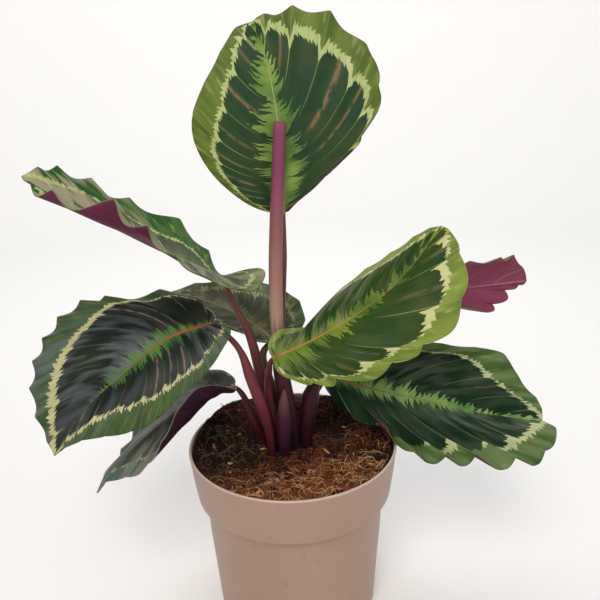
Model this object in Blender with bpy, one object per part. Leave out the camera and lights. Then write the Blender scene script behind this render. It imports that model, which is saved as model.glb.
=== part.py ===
"""Potted calathea: a nursery pot, its soil, eight leaves, a cut stalk and a young rolled leaf.

Metres, +Z up, the pot's axis on Z and its base on the ground. Routes and outlines are in millimetres.
A leaf is one grown piece: a thin waved blade, thicker along its midrib, on a stalk that ends in the soil.
"""

import math
import random

import bmesh
import bpy
import numpy as np

MM = 0.001
GAP = 0.3  # clearance between neighbouring pieces

# Pot: thin wall, a deep collar under the rim, a shoulder, then a tapering body.
POT_HEIGHT = 150.0
RIM_RADIUS = 85.0
RIM_WIDTH = 2.2
COLLAR_HEIGHT = 40.4
COLLAR_FOOT_RADIUS = 80.2
BODY_TOP_RADIUS = 73.6
SHOULDER_HEIGHT = 8.0
BODY_FOOT_RADIUS = 66.8
WALL = 1.2
FLOOR = 1.6
POT_SIDES = 60
DRAIN_COUNT = 8
DRAIN_RADIUS = 4.0
DRAIN_RING = 50.0
COLLAR_FOOT = POT_HEIGHT - COLLAR_HEIGHT
BODY_TOP = COLLAR_FOOT - SHOULDER_HEIGHT

# Soil: level at the crown and higher at the wall, with a heap at the left back, a pit behind the crown and a
# mound on the right.
SOIL_LEVEL = 140.5
SOIL_SIDES = 40
SOIL_RINGS = (9, 18, 27, 36, 45, 54, 62, 69, 75)
SOIL_HEAPS = (
    (-50, 46, 38, 11.0),
    (60, 10, 26, 5.5),
    (42, 66, 26, 6.0),
    (36, 36, 20, -9.0),
    (-52, -22, 22, -2.0),
)
SOIL_EDGE_RADIUS = 80.9
WALL_RISE = 5.5  # how much higher the soil lies at the wall than at the crown
SOIL_GRAIN = 0.9
STALK_FOOT = 119.0

# Blade: thickness at the margin and at the midrib, and the grid that both faces share.
BLADE_EDGE = 0.9
BLADE_RIB = 2.3
BLADE_COLUMNS = (-1.0, -0.84, -0.62, -0.36, -0.1, 0.0, 0.1, 0.36, 0.62, 0.84, 1.0)
ROWS_PER_WAVE = 3
VEIN_SWEEP = 0.15  # how far a side vein bends back from a straight line, as a share of its length
RIB_TOE = 0.09  # share of the midrib that the stalk runs under

STALK_SIDES = 10
STALK_RINGS = 11

# Each leaf: midrib from base to tip, then the margins left and right of it as seen on the upper face,
# the wave crests along each margin, wave height, the bow between rib and margin and how far each crest
# pulls the margin in, all from base to tip, then the stalk from under the blade to the soil with its radius.
LEAVES = {
    "leaf_top": dict(
        rib=((0, 14, 335), (0, 10, 369), (-3, 9, 410), (-10, 14, 448), (-18, 24, 471)),
        left=((-17, 12, 339), (-35, 6, 351), (-55, 0, 375), (-62, -4, 405), (-53, -2, 428), (-39, 8, 452),
              (-28, 18, 467)),
        right=((6, 12, 342), (21, 10, 353), (35, 7, 367), (49, 5, 379), (58, 4, 389), (66, 4, 403),
               (72, 6, 417), (72, 9, 429), (68, 12, 442), (59, 14, 453), (46, 17, 464), (28, 20, 474),
               (16, 22, 477), (-1, 23, 475), (-15, 23, 473)),
        crests=((0.05, 0.16, 0.32, 0.46, 0.57, 0.68, 0.81, 0.93),
                (0.084, 0.233, 0.379, 0.522, 0.633, 0.772, 0.886, 0.96)),
        height=((0, 1, 2, 1), (0, 1, 2, 3, 3, 3)), bow=((3, 3, 3), (0, 1.5, 4, 4, 3)),
        notch=((0.01, 0, -0.02), (0.12, 0.12, 0.11, 0.09, 0.01, -0.06, -0.07, -0.06)),
        stalk=((-2, 15, 303, 2.8), (-6, 16, 242, 3.4), (-5, 17, 189, 4.0), (-1, 15.5, 140, 4.0)),
    ),
    "leaf_upper_left": dict(
        rib=((-50, 8, 290), (-85, 2, 310), (-122, -2, 332), (-154, -2, 351), (-186, 0, 372)),
        left=((-16, -11, 296), (-19, -18, 291), (-24, -23, 288), (-34, -29, 290), (-47, -35, 297),
              (-64, -42, 309), (-76, -44, 319), (-91, -42, 334), (-107, -40, 348), (-123, -38, 356),
              (-141, -34, 356), (-155, -28, 359), (-170, -18, 363)),
        right=((-24, 18, 284), (-42, 32, 280), (-60, 46, 290), (-68, 48, 303), (-81, 50, 319),
               (-97, 50, 331), (-116, 49, 338), (-144, 38, 357), (-167, 24, 372), (-179, 10, 375)),
        crests=((0.13, 0.253, 0.363, 0.464, 0.565, 0.67, 0.854, 0.954),
                (0.101, 0.202, 0.342, 0.48, 0.65, 0.777, 0.884, 0.947)),
        height=((0, 0, 0, 1, 3, 8, 8, 6, 4), (1, 4, 5, 4)), bow=((-2, -2, -1), (-1, -3, -2)),
        notch=((0, 0), (0, -0.02)),
        stalk=((-43, 4, 273, 2.1), (-33, 3, 249, 3.2), (-26, 5, 218, 4.2), (-21, 8, 183, 4.4),
               (-14, 10, 140, 3.8)),
    ),
    "leaf_left": dict(
        rib=((-59, -5, 256), (-92, -14, 249), (-120, -26, 231), (-145, -40, 213), (-172, -60, 180)),
        left=((-44, -12, 254), (-50, -24, 242), (-63, -34, 227), (-81, -42, 214), (-101, -52, 199),
              (-129, -58, 193), (-154, -60, 190)),
        right=((-56, 4, 257), (-67, 18, 266), (-99, 30, 272), (-131, 30, 268), (-163, 24, 267),
               (-186, 12, 250), (-197, -6, 227), (-192, -30, 202), (-179, -50, 187)),
        crests=((0.09, 0.18, 0.28, 0.38, 0.48, 0.58, 0.68, 0.78, 0.87, 0.95),
                (0.11, 0.25, 0.41, 0.48, 0.56, 0.63, 0.70, 0.78, 0.87, 0.955)),
        height=((0, 1, 2, 1), (1, 4, 3, 2)), bow=((3, 4, 3), (2, 4, 3)),
        notch=((0, 0), (-0.02, -0.03)),
        stalk=((-49, -2, 246, 2.2), (-39, -3, 233, 2.5), (-32, -8, 214, 4.4), (-25, -12, 193, 4.9),
               (-17, -8, 140, 3.4)),
    ),
    "leaf_lower_left": dict(
        rib=((-44, -8, 205), (-61, -13, 205), (-90, -24, 192), (-121, -34, 170), (-153, -40, 134)),
        left=((-43, -16, 206), (-59, -30, 217), (-76, -40, 213), (-89, -48, 195), (-102, -54, 173),
              (-122, -52, 154), (-141, -46, 147)),
        right=((-44, 0, 206), (-53, 10, 209), (-74, 18, 207), (-106, 22, 183), (-130, 10, 159),
               (-144, -20, 144), (-151, -34, 138)),
        crests=((0.12, 0.26, 0.40, 0.54, 0.67, 0.80, 0.92), (0.12, 0.28, 0.42, 0.55, 0.67, 0.78, 0.90)),
        height=((0, 1, 2, 1), (0, 2, 3, 2)), bow=((-2, -7, -6, 2, 2), (2, 3, 2)),
        notch=((0.02, 0.03), (0, -0.03)),
        stalk=((-40, -6, 198, 2.2), (-36, -4, 188, 2.6), (-31, -3, 171, 3.6), (-20, 3, 140, 3.2)),
    ),
    "leaf_right_front": dict(
        rib=((-13, -26, 235), (15, -26, 247), (45, -24, 263), (79, -18, 286), (114, -8, 327)),
        left=((-16, -24, 243), (-10, -18, 252), (13, -4, 250), (40, 8, 273), (66, 12, 293), (91, 10, 310),
              (106, 0, 323)),
        right=((-10, -34, 228), (7, -40, 220), (23, -44, 218), (39, -47, 221), (56, -49, 224),
               (71, -50, 231), (86, -50, 240), (101, -49, 249), (114, -48, 258), (123, -44, 272),
               (128, -38, 287), (127, -30, 305), (123, -22, 318), (118, -14, 326)),
        crests=((0.10, 0.24, 0.38, 0.50, 0.62, 0.74, 0.86, 0.95),
                (0.10, 0.185, 0.267, 0.452, 0.557, 0.74, 0.88, 0.955)),
        height=((0, 1, 1, 1), (0, 2, 6, 5, 4, 2, 2, 1)), bow=((2, 3, 2), (3, 5, 3)),
        notch=((0, 0), (0.04, 0.1, 0.18, 0.1, 0.08, 0.05, 0.03, 0.02)),
        stalk=((-16, -16, 222, 2.4), (-18, -5, 204, 3.2), (-16, -2, 178, 4.0), (-10, 0, 140, 3.4)),
    ),
    "leaf_right_low": dict(
        rib=((23, 12, 203), (64, 6, 191), (111, -6, 183), (157, -18, 176), (195, -28, 174)),
        left=((27, 22, 209), (60, 36, 217), (112, 42, 216), (155, 38, 210), (181, 30, 206), (192, 14, 188),
              (200, 0, 179), (199, -16, 177)),
        right=((32, 2, 187), (43, -8, 178), (53, -13, 172), (66, -17, 170), (78, -24, 163), (88, -30, 154),
               (98, -34, 149), (110, -38, 146), (120, -42, 150), (131, -44, 147), (143, -45, 152),
               (155, -46, 145), (168, -46, 145), (175, -46, 150), (184, -46, 146), (196, -43, 152),
               (203, -38, 163), (204, -33, 170), (200, -30, 172)),
        crests=((0.12, 0.25, 0.37, 0.49, 0.60, 0.70, 0.79, 0.88, 0.95),
                (0.084, 0.17, 0.295, 0.425, 0.528, 0.627, 0.77, 0.87, 0.955)),
        height=((0, 1, 1, 1), (3, 5, 7, 6, 3, 3, 3)), bow=((3, 3, 2), (2, 3, 2)),
        notch=((0, 0), (0, 0, 0.02, 0.04, 0.05, 0.06, 0.06, 0.02)),
        stalk=((19, 10, 194, 5.0), (16, 8.5, 184, 7.4), (13.5, 7.6, 171, 7.6), (11, 5, 140, 4.8)),
    ),
    "leaf_right_back": dict(
        rib=((72, 48, 251), (105, 56, 255), (141, 62, 256), (178, 66, 257), (210, 68, 259)),
        left=((80, 58, 232), (117, 63, 230), (159, 60, 238), (176, 63, 232), (185, 66, 234), (192, 68, 240),
              (197, 69, 246), (202, 70, 252), (208, 70, 254)),
        right=((74, 40, 267), (110, 41, 278), (150, 44, 282), (164, 44, 284), (180, 46, 284),
               (191, 54, 284), (200, 60, 276), (208, 66, 266)),
        crests=((0.20, 0.38, 0.55, 0.70, 0.80, 0.90, 0.96), (0.12, 0.28, 0.42, 0.56, 0.70, 0.80, 0.92)),
        height=((0, 2, 3, 3), (0, 2, 3, 1)), bow=((1, 2, 1), (1, 2, 1)),
        notch=((0.02, 0.03, 0.05, 0.1, 0.16), (0, 0, -0.02, -0.06, 0)),
        stalk=((55, 50, 233, 2.6), (35, 41, 197, 3.6), (14, 24, 168, 4.2), (9, 16, 140, 3.9)),
    ),
    "leaf_back": dict(
        rib=((-14, 34, 227), (-32, 38, 241), (-53, 46, 251), (-76, 56, 257), (-100, 66, 261)),
        left=((1, 30, 228), (-17, 22, 228), (-37, 17, 239), (-60, 26, 246), (-82, 44, 255)),
        right=((9, 36, 231), (13, 44, 245), (-1, 54, 261), (-32, 64, 269), (-62, 70, 268), (-88, 72, 263)),
        crests=((0.10, 0.25, 0.40, 0.54, 0.68, 0.81, 0.92), (0.10, 0.20, 0.30, 0.42, 0.56, 0.72, 0.87)),
        height=((0, 1, 1, 1), (1, 2, 2, 1)), bow=((-2, -2, -1), (-2, -3, -1)),
        notch=((0, 0), (-0.03, -0.02)),
        stalk=((-21, 27, 219, 3.0), (-20, 22, 202, 4.0), (-12, 20, 165, 4.2), (-11, 19, 140, 3.8)),
    ),
}

# The stalk whose blade was cut off, and the young leaf that is still rolled up.
CUT_STALK = ((-1, 0, 403, 4.4), (-5, 0, 349, 4.9), (-8, 0, 303, 5.2), (-9, 0, 247, 5.2), (-7, 2, 207, 6.6),
             (-3, 3.5, 178, 7.0), (1, 4, 140, 4.8))
YOUNG_LEAF = ((-5, -9, 201, 0.8), (-6, -10, 190, 3.8), (-6.5, -10.5, 172, 6.0), (-7, -10.5, 155, 6.0),
              (-7.5, -10, 140, 4.8))


def clear_scene():
    for old in list(bpy.data.objects):
        bpy.data.objects.remove(old)


def material(name, colour, roughness):
    made = bpy.data.materials.new(name)
    made.use_nodes = True
    shader = made.node_tree.nodes["Principled BSDF"]
    shader.inputs["Base Color"].default_value = (*colour, 1)
    shader.inputs["Roughness"].default_value = roughness
    return made


def mesh_object(name, points_mm, faces, finish=None):
    mesh = bpy.data.meshes.new(name)
    mesh.from_pydata([tuple(float(v) * MM for v in p) for p in points_mm], [], faces)
    work = bmesh.new()
    work.from_mesh(mesh)
    bmesh.ops.recalc_face_normals(work, faces=work.faces[:])
    work.to_mesh(mesh)
    work.free()
    mesh.polygons.foreach_set("use_smooth", [True] * len(mesh.polygons))
    made = bpy.data.objects.new(name, mesh)
    bpy.context.collection.objects.link(made)
    if finish:
        mesh.materials.append(finish)
    return made


def boolean(target, other, operation):
    """Joins other to target, or cuts it out, and removes it."""
    step = target.modifiers.new(operation.lower(), "BOOLEAN")
    step.operation = operation
    step.solver = "MANIFOLD"
    step.object = other
    graph = bpy.context.evaluated_depsgraph_get()
    result = bpy.data.meshes.new_from_object(target.evaluated_get(graph))
    target.modifiers.clear()
    target.data = result
    bpy.data.objects.remove(other)


# Curves

def smoothstep(low, high, x):
    t = np.clip((x - low) / (high - low), 0, 1)
    return t * t * (3 - 2 * t)


def unit(v):
    return v / np.maximum(np.linalg.norm(v, axis=-1, keepdims=True), 1e-9)


def spline(points, share):
    """A natural cubic through the points: places and directions at these shares of its chord length."""
    p = np.asarray(points, float)
    knots = np.concatenate([[0], np.cumsum(np.linalg.norm(np.diff(p, axis=0), axis=1))])
    knots /= knots[-1]
    step = np.diff(knots)
    count = len(p)
    system = np.eye(count)
    right = np.zeros_like(p)
    for i in range(1, count - 1):
        system[i, i - 1:i + 2] = step[i - 1], 2 * (step[i - 1] + step[i]), step[i]
        right[i] = 6 * ((p[i + 1] - p[i]) / step[i] - (p[i] - p[i - 1]) / step[i - 1])
    bend = np.linalg.solve(system, right)
    share = np.asarray(share, float)
    i = np.clip(np.searchsorted(knots, share) - 1, 0, count - 2)
    h = step[i][..., None]
    before = (knots[i + 1] - share)[..., None]
    after = (share - knots[i])[..., None]
    place = (bend[i] * before**3 + bend[i + 1] * after**3) / (6 * h)
    place += (p[i] / h - bend[i] * h / 6) * before + (p[i + 1] / h - bend[i + 1] * h / 6) * after
    slope = (bend[i + 1] * after**2 - bend[i] * before**2) / (2 * h)
    slope += (p[i + 1] - p[i]) / h - (bend[i + 1] - bend[i]) * h / 6
    return place, slope


def along(values, share):
    return np.interp(share, np.linspace(0, 1, len(values)), values)


# Blades

def rib_share(vein):
    """Where a side vein leaves the midrib, given where along the margin it ends."""
    return 0.62 * vein**1.6 + 0.38 * vein**8


def blade_surface(leaf, wave, out):
    """Upper face of a blade, in mm. wave counts the crests from the base, out is -1 to 1 over the midrib."""
    wave, out = np.broadcast_arrays(wave, out)
    count = len(leaf["crests"][0])
    marks = (0.5, *range(1, count + 1), count + 0.5)
    veins = [np.interp(wave, marks, (0, *crests, 1)) for crests in leaf["crests"]]
    rib, slope = spline(leaf["rib"], rib_share(sum(veins) / 2))
    forward = unit(slope)
    reach = np.abs(out)
    crest = 1 - np.abs(np.sin(np.pi * wave))
    surface = rib.copy()
    for j, (side, name) in enumerate(((-1, "left"), (1, "right"))):
        vein = veins[j]
        margin = spline((leaf["rib"][0], *leaf[name], leaf["rib"][-1]), vein)[0]
        across = margin - rib
        up = unit(np.cross(across, forward)) * side
        width = np.linalg.norm(across, axis=-1)
        grow = smoothstep(0.02, 0.16, vein) * (1 - 0.8 * smoothstep(0.9, 1, vein))
        lift = along(leaf["height"][j], vein) * grow * (1.5 * crest - 0.5) * reach**2.4
        arch = 4 * reach * (1 - reach) * smoothstep(0, 0.08, vein) * smoothstep(0, 0.08, 1 - vein)
        bow = along(leaf["bow"][j], vein) * arch
        sweep = width * VEIN_SWEEP * arch * smoothstep(0.12, 0.6, vein)
        stretch = reach * (1 - along(leaf["notch"][j], vein) * crest * grow * reach**3)
        side_face = rib + across * stretch[..., None] + up * (bow + lift)[..., None]
        side_face -= forward * sweep[..., None]
        surface = np.where((out * side > 0)[..., None], side_face, surface)
    return surface


def blade_grid(leaf):
    """Upper face and its normals, row by row, without the single points at the base and the tip."""
    count = len(leaf["crests"][0])
    first = ROWS_PER_WAVE // 2 + 1
    wave = np.arange(first, first + ROWS_PER_WAVE * count)[:, None] / ROWS_PER_WAVE
    out = np.array(BLADE_COLUMNS)[None, :]
    face = blade_surface(leaf, wave, out)
    ahead = blade_surface(leaf, wave + 0.02, out) - blade_surface(leaf, wave - 0.02, out)
    beside = blade_surface(leaf, wave, np.minimum(out + 0.05, 1))
    beside = beside - blade_surface(leaf, wave, np.maximum(out - 0.05, -1))
    return face, unit(np.cross(beside, ahead))


def blade_object(name, leaf):
    face, normal = blade_grid(leaf)
    count, columns = face.shape[:2]
    out = np.abs(np.array(BLADE_COLUMNS))
    ridge = np.clip(1 - out / 0.3, 0, 1)
    taper = np.linspace(1, 0.4, count)
    thick = BLADE_EDGE + (BLADE_RIB - BLADE_EDGE) * ridge[None, :] * taper[:, None]
    under = face - normal * thick[..., None]
    ends = [np.array(leaf["rib"][0], float), np.array(leaf["rib"][-1], float)]
    middle = columns // 2
    ends += [ends[0] - normal[0, middle] * BLADE_RIB, ends[1] - normal[-1, middle] * BLADE_EDGE]
    points = [*face.reshape(-1, 3), *under.reshape(-1, 3), *ends]
    below = count * columns
    base, tip, base_under, tip_under = (2 * below + k for k in range(4))
    faces = []
    for i in range(count - 1):
        for j in range(columns - 1):
            a = i * columns + j
            b, c, d = a + 1, a + columns + 1, a + columns
            for tri in ((a, b, d), (b, c, d)) if j < middle else ((a, b, c), (a, c, d)):
                faces.append(tri)
                faces.append(tuple(k + below for k in reversed(tri)))
    last = (count - 1) * columns
    for j in range(columns - 1):
        faces.append((base, j + 1, j))
        faces.append((base_under, j + below, j + 1 + below))
        faces.append((tip, last + j, last + j + 1))
        faces.append((tip_under, last + j + 1 + below, last + j + below))
    for j, flip in ((0, False), (columns - 1, True)):
        ring = [base, *(i * columns + j for i in range(count)), tip]
        lower = [base_under, *(i * columns + j + below for i in range(count)), tip_under]
        for k in range(len(ring) - 1):
            quad = (ring[k], ring[k + 1], lower[k + 1], lower[k])
            a, b, c, d = reversed(quad) if flip else quad
            faces += [(a, b, c), (a, c, d)]
    return mesh_object(name, points, faces)


# Stalks

def tube(name, route, sides=STALK_SIDES, rings=STALK_RINGS, swell=0.0, foot=STALK_FOOT, finish=None):
    """A closed round stalk along the route of (x, y, z, radius), carried straight down to the foot height."""
    x, y, _, radius = route[-1]
    full = (*route, (x, y, foot, radius - 0.4))
    points = np.array([p[:3] for p in full], float)
    radii = np.array([p[3] for p in full], float)
    knots = np.concatenate([[0], np.cumsum(np.linalg.norm(np.diff(points, axis=0), axis=1))])
    share = np.unique(np.concatenate([np.linspace(0, 1, rings), (knots / knots[-1])[[1, -2]]]))
    centre, slope = spline(points, share)
    radius = np.interp(share, knots / knots[-1], radii) + swell
    axis = unit(slope)
    front = unit(np.cross(axis, (1, 0, 0)) + 1e-9)
    right = np.cross(axis, front)
    turn = np.arange(sides) * math.tau / sides
    ring = (centre[:, None] + front[:, None] * (radius[:, None] * np.cos(turn))[..., None]
            + right[:, None] * (radius[:, None] * np.sin(turn))[..., None])
    verts = list(ring.reshape(-1, 3)) + [centre[0], centre[-1]]
    top, bottom = len(verts) - 2, len(verts) - 1
    faces = []
    for j in range(sides):
        k = (j + 1) % sides
        for i in range(len(share) - 1):
            a, b, c, d = i * sides + j, i * sides + k, (i + 1) * sides + k, (i + 1) * sides + j
            faces += [(a, b, c), (a, c, d)]
        end = (len(share) - 1) * sides
        faces += [(top, k, j), (bottom, end + j, end + k)]
    return mesh_object(name, verts, faces, finish)


def leaf_route(leaf):
    """The stalk with its upper end laid under the first stretch of the midrib."""
    face, slope = spline(leaf["rib"], np.array([0.0, RIB_TOE]))
    normal = blade_grid(leaf)[1][1, len(BLADE_COLUMNS) // 2]
    heel_radius, toe_radius = 1.5, 0.9
    heel = face[0] - normal * (heel_radius + 0.5)
    toe = face[1] - normal * (toe_radius + 0.5)
    return ((*toe, toe_radius), (*heel, heel_radius), *leaf["stalk"])


# Soil

def soil_height(x, y):
    height = SOIL_LEVEL + WALL_RISE * (math.hypot(x, y) / SOIL_EDGE_RADIUS)**4
    for hx, hy, spread, lift in SOIL_HEAPS:
        height += lift * math.exp(-((x - hx)**2 + (y - hy)**2) / (2 * (spread * 0.7)**2))
    return height


def inner_radius(z):
    """The pot's inside radius at a height."""
    heights = (0, BODY_TOP, COLLAR_FOOT, POT_HEIGHT)
    radii = (BODY_FOOT_RADIUS, BODY_TOP_RADIUS, COLLAR_FOOT_RADIUS, RIM_RADIUS - 1.0)
    return float(np.interp(z, heights, radii)) - WALL


def soil_object(name, finish):
    chance = random.Random(7)
    floor = FLOOR + GAP
    points = [(0, 0, soil_height(0, 0))]
    for radius in SOIL_RINGS:
        for j in range(SOIL_SIDES):
            turn = (j + (0.5 if radius % 2 else 0)) * math.tau / SOIL_SIDES
            x, y = radius * math.cos(turn), radius * math.sin(turn)
            points.append((x, y, soil_height(x, y) + chance.uniform(-SOIL_GRAIN, SOIL_GRAIN)))
    levels = (None, COLLAR_FOOT, BODY_TOP, floor)
    for level in levels:
        for j in range(SOIL_SIDES):
            turn = j * math.tau / SOIL_SIDES
            c, s = math.cos(turn), math.sin(turn)
            z = soil_height(78 * c, 78 * s) if level is None else level
            shrink = 1 / math.cos(math.pi / SOIL_SIDES)
            r = (inner_radius(z) - 2 * GAP) / shrink
            points.append((r * c, r * s, z))
    points.append((0, 0, floor))
    rings = len(SOIL_RINGS) + len(levels)
    faces = []
    for j in range(SOIL_SIDES):
        k = (j + 1) % SOIL_SIDES
        faces.append((0, 1 + j, 1 + k))
        for i in range(rings - 1):
            a, b = 1 + i * SOIL_SIDES + j, 1 + i * SOIL_SIDES + k
            c, d = b + SOIL_SIDES, a + SOIL_SIDES
            faces += [(a, d, b), (b, d, c)]
        last = 1 + (rings - 1) * SOIL_SIDES
        faces.append((len(points) - 1, last + k, last + j))
    return mesh_object(name, points, faces, finish)


# Pot

def turned(name, profile, sides, finish):
    """A profile of (radius, height), from the inner floor over the rim to the foot, turned round Z."""
    mesh = bpy.data.meshes.new(name)
    points = [(r * MM, 0, z * MM) for r, z in profile]
    mesh.from_pydata(points, [(i, i + 1) for i in range(len(profile) - 1)], [])
    mesh.materials.append(finish)
    made = bpy.data.objects.new(name, mesh)
    bpy.context.collection.objects.link(made)
    turn = made.modifiers.new("turn", "SCREW")
    turn.steps = turn.render_steps = sides
    turn.use_merge_vertices = True
    turn.merge_threshold = 0.0001
    return made


def pot_object(name, finish):
    """The turned wall, closed by its floor, with a ring of drain holes."""
    rim_inner = RIM_RADIUS - RIM_WIDTH
    inside = (
        (0, FLOOR),
        (BODY_FOOT_RADIUS - WALL, FLOOR),
        (BODY_TOP_RADIUS - WALL, BODY_TOP),
        (COLLAR_FOOT_RADIUS - WALL, COLLAR_FOOT),
        (rim_inner, POT_HEIGHT - 1.8),
        (rim_inner + 0.5, POT_HEIGHT),
    )
    outside = (
        (RIM_RADIUS - 0.6, POT_HEIGHT),
        (RIM_RADIUS, POT_HEIGHT - 0.8),
        (RIM_RADIUS - 0.2, POT_HEIGHT - 2.6),
        (COLLAR_FOOT_RADIUS + 0.4, COLLAR_FOOT + 2.5),
        (COLLAR_FOOT_RADIUS - 0.8, COLLAR_FOOT + 0.4),
        (BODY_TOP_RADIUS + 0.6, BODY_TOP + 1.6),
        (BODY_TOP_RADIUS, BODY_TOP - 1.0),
        (BODY_FOOT_RADIUS + 0.2, 2.2),
        (BODY_FOOT_RADIUS - 1.0, 0),
        (0, 0),
    )
    pot = turned(name, (*inside, *outside), POT_SIDES, finish)
    for n in range(DRAIN_COUNT):
        turn = (n + 0.5) * math.tau / DRAIN_COUNT
        bpy.ops.mesh.primitive_cylinder_add(
            vertices=10, radius=DRAIN_RADIUS * MM, depth=6 * MM,
            location=(DRAIN_RING * math.cos(turn) * MM, DRAIN_RING * math.sin(turn) * MM, 0))
        boolean(pot, bpy.context.object, "DIFFERENCE")
    return pot


clear_scene()
plastic = material("pot_plastic", (0.38, 0.26, 0.19), 0.5)
peat = material("peat_and_coir", (0.07, 0.03, 0.012), 0.95)
green = material("leaf_green", (0.04, 0.13, 0.03), 0.45)
purple = material("stalk_purple", (0.16, 0.03, 0.05), 0.45)

pot_object("pot", plastic)
soil = soil_object("soil", peat)
routes = {name: leaf_route(leaf) for name, leaf in LEAVES.items()}
routes["cut_stalk"] = CUT_STALK
routes["young_leaf"] = YOUNG_LEAF
for name, route in routes.items():
    hole = tube("hole_" + name, route, swell=GAP, foot=STALK_FOOT - GAP)
    boolean(soil, hole, "DIFFERENCE")
for name, leaf in LEAVES.items():
    blade = blade_object(name, leaf)
    boolean(blade, tube("stalk_" + name, routes[name]), "UNION")
    blade.data.materials.clear()
    blade.data.materials.append(green)
tube("cut_stalk", CUT_STALK, finish=purple)
tube("young_leaf", YOUNG_LEAF, finish=purple)
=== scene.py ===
import math
import random

import bpy
import numpy as np
from mathutils import Matrix, Vector, noise


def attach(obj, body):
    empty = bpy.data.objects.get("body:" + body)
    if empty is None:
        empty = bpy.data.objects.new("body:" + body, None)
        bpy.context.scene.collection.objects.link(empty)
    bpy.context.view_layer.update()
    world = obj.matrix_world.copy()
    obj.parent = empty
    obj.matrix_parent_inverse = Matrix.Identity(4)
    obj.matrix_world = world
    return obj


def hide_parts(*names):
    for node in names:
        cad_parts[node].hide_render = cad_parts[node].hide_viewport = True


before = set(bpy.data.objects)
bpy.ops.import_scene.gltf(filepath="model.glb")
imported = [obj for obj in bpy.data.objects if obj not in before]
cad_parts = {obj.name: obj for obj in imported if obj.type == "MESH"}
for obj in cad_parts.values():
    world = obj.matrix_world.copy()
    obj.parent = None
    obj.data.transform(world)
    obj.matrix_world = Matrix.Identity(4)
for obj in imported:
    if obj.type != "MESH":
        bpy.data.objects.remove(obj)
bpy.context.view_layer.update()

MM = 0.001

# The nursery pot: polypropylene, injection moulded thin and taupe all through. A deep collar under the rim
# lets pots stack, a soft shoulder leads from it to the tapering body, and the floor has eight drain holes.
POT_HEIGHT = 150.0
RIM_RADIUS = 85.0
RIM_WIDTH = 2.2
RIM_INNER_RADIUS = RIM_RADIUS - RIM_WIDTH
COLLAR_FOOT = 109.6
COLLAR_FOOT_RADIUS = 80.2
BODY_TOP = 101.6
BODY_TOP_RADIUS = 73.6
BODY_FOOT_RADIUS = 66.8
WALL = 1.2
FLOOR = 1.6
SMOOTH_ANGLE = 40.0
POT_SIDES = 144
DRAIN_COUNT = 8
DRAIN_RADIUS = 4.0
DRAIN_RING = 50.0


def colour(code):
    """An sRGB hex code as linear RGBA."""
    parts = [int(code[k:k + 2], 16) / 255 for k in (1, 3, 5)]
    return (*(c / 12.92 if c <= 0.04045 else ((c + 0.055) / 1.055) ** 2.4 for c in parts), 1)


def node(tree, kind, inputs=None, **settings):
    """Adds a node with its settings; an input takes a value or another node's output."""
    made = tree.nodes.new("ShaderNode" + kind)
    for key, value in settings.items():
        setattr(made, key, value)
    for key, value in (inputs or {}).items():
        if isinstance(value, bpy.types.NodeSocket):
            tree.links.new(value, made.inputs[key])
        else:
            made.inputs[key].default_value = value
    return made


def new_material(name, **sockets):
    """A material with one Principled shader whose plain values are set on its own sockets."""
    made = bpy.data.materials.new(name)
    made.use_nodes = True
    shader = made.node_tree.nodes["Principled BSDF"]
    for key, value in sockets.items():
        shader.inputs[key.replace("_", " ")].default_value = value
    return made, made.node_tree, shader


def taupe_polypropylene():
    """Moulded plastic: a satin skin, faintly clouded from the melt, with pale and dark marks from use and a
    painted highlight on the rim.
    """
    made, tree, shader = new_material("taupe_polypropylene", IOR=1.49, Specular_IOR_Level=0.4)
    place = node(tree, "TexCoord").outputs["Object"]
    cloud = node(tree, "TexNoise", {"Vector": place, "Scale": 14.0, "Detail": 3.0})
    # Scuffs are level strokes, some 15 mm long and 2 mm high, where pots rub on a shelf.
    stroke = node(tree, "Mapping", {"Vector": place, "Scale": (60.0, 60.0, 420.0)})
    rub = node(tree, "TexNoise", {"Vector": stroke.outputs[0], "Scale": 1.0, "Detail": 4.0, "Roughness": 0.7})
    rubbed = node(tree, "MapRange", {"Value": rub.outputs[0], "From Min": 0.66, "From Max": 0.8})
    smudge = node(tree, "TexNoise", {"Vector": place, "Scale": 55.0, "Detail": 6.0, "Roughness": 0.75})
    span = {"Value": smudge.outputs[0], "From Min": 0.6, "From Max": 0.76, "To Max": 0.8}
    smudged = node(tree, "MapRange", span)
    # The last millimetre of the rim is painted paler, a painted highlight where the rim catches the light.
    height = node(tree, "SeparateXYZ", {0: place}).outputs["Z"]
    edge = node(tree, "MapRange", {"Value": height, "From Min": 0.1488, "From Max": 0.1499})
    tone = colour("#967B6B")
    for shown, code in ((cloud, "#A48777"), (rubbed, "#B8A08F"), (smudged, "#7A6254"), (edge, "#C9B3A2")):
        laid = {0: shown.outputs[0], 6: tone, 7: colour(code)}
        tone = node(tree, "Mix", laid, data_type="RGBA").outputs[2]
    tree.links.new(tone, shader.inputs["Base Color"])
    rough = node(tree, "MapRange", {"Value": cloud.outputs[0], "To Min": 0.38, "To Max": 0.52})
    tree.links.new(rough.outputs[0], shader.inputs["Roughness"])
    grain = node(tree, "TexNoise", {"Vector": place, "Scale": 900.0, "Detail": 2.0})
    bump = node(tree, "Bump", {"Height": grain.outputs[0], "Distance": 0.00006, "Strength": 0.6})
    tree.links.new(bump.outputs[0], shader.inputs["Normal"])
    return made


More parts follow.
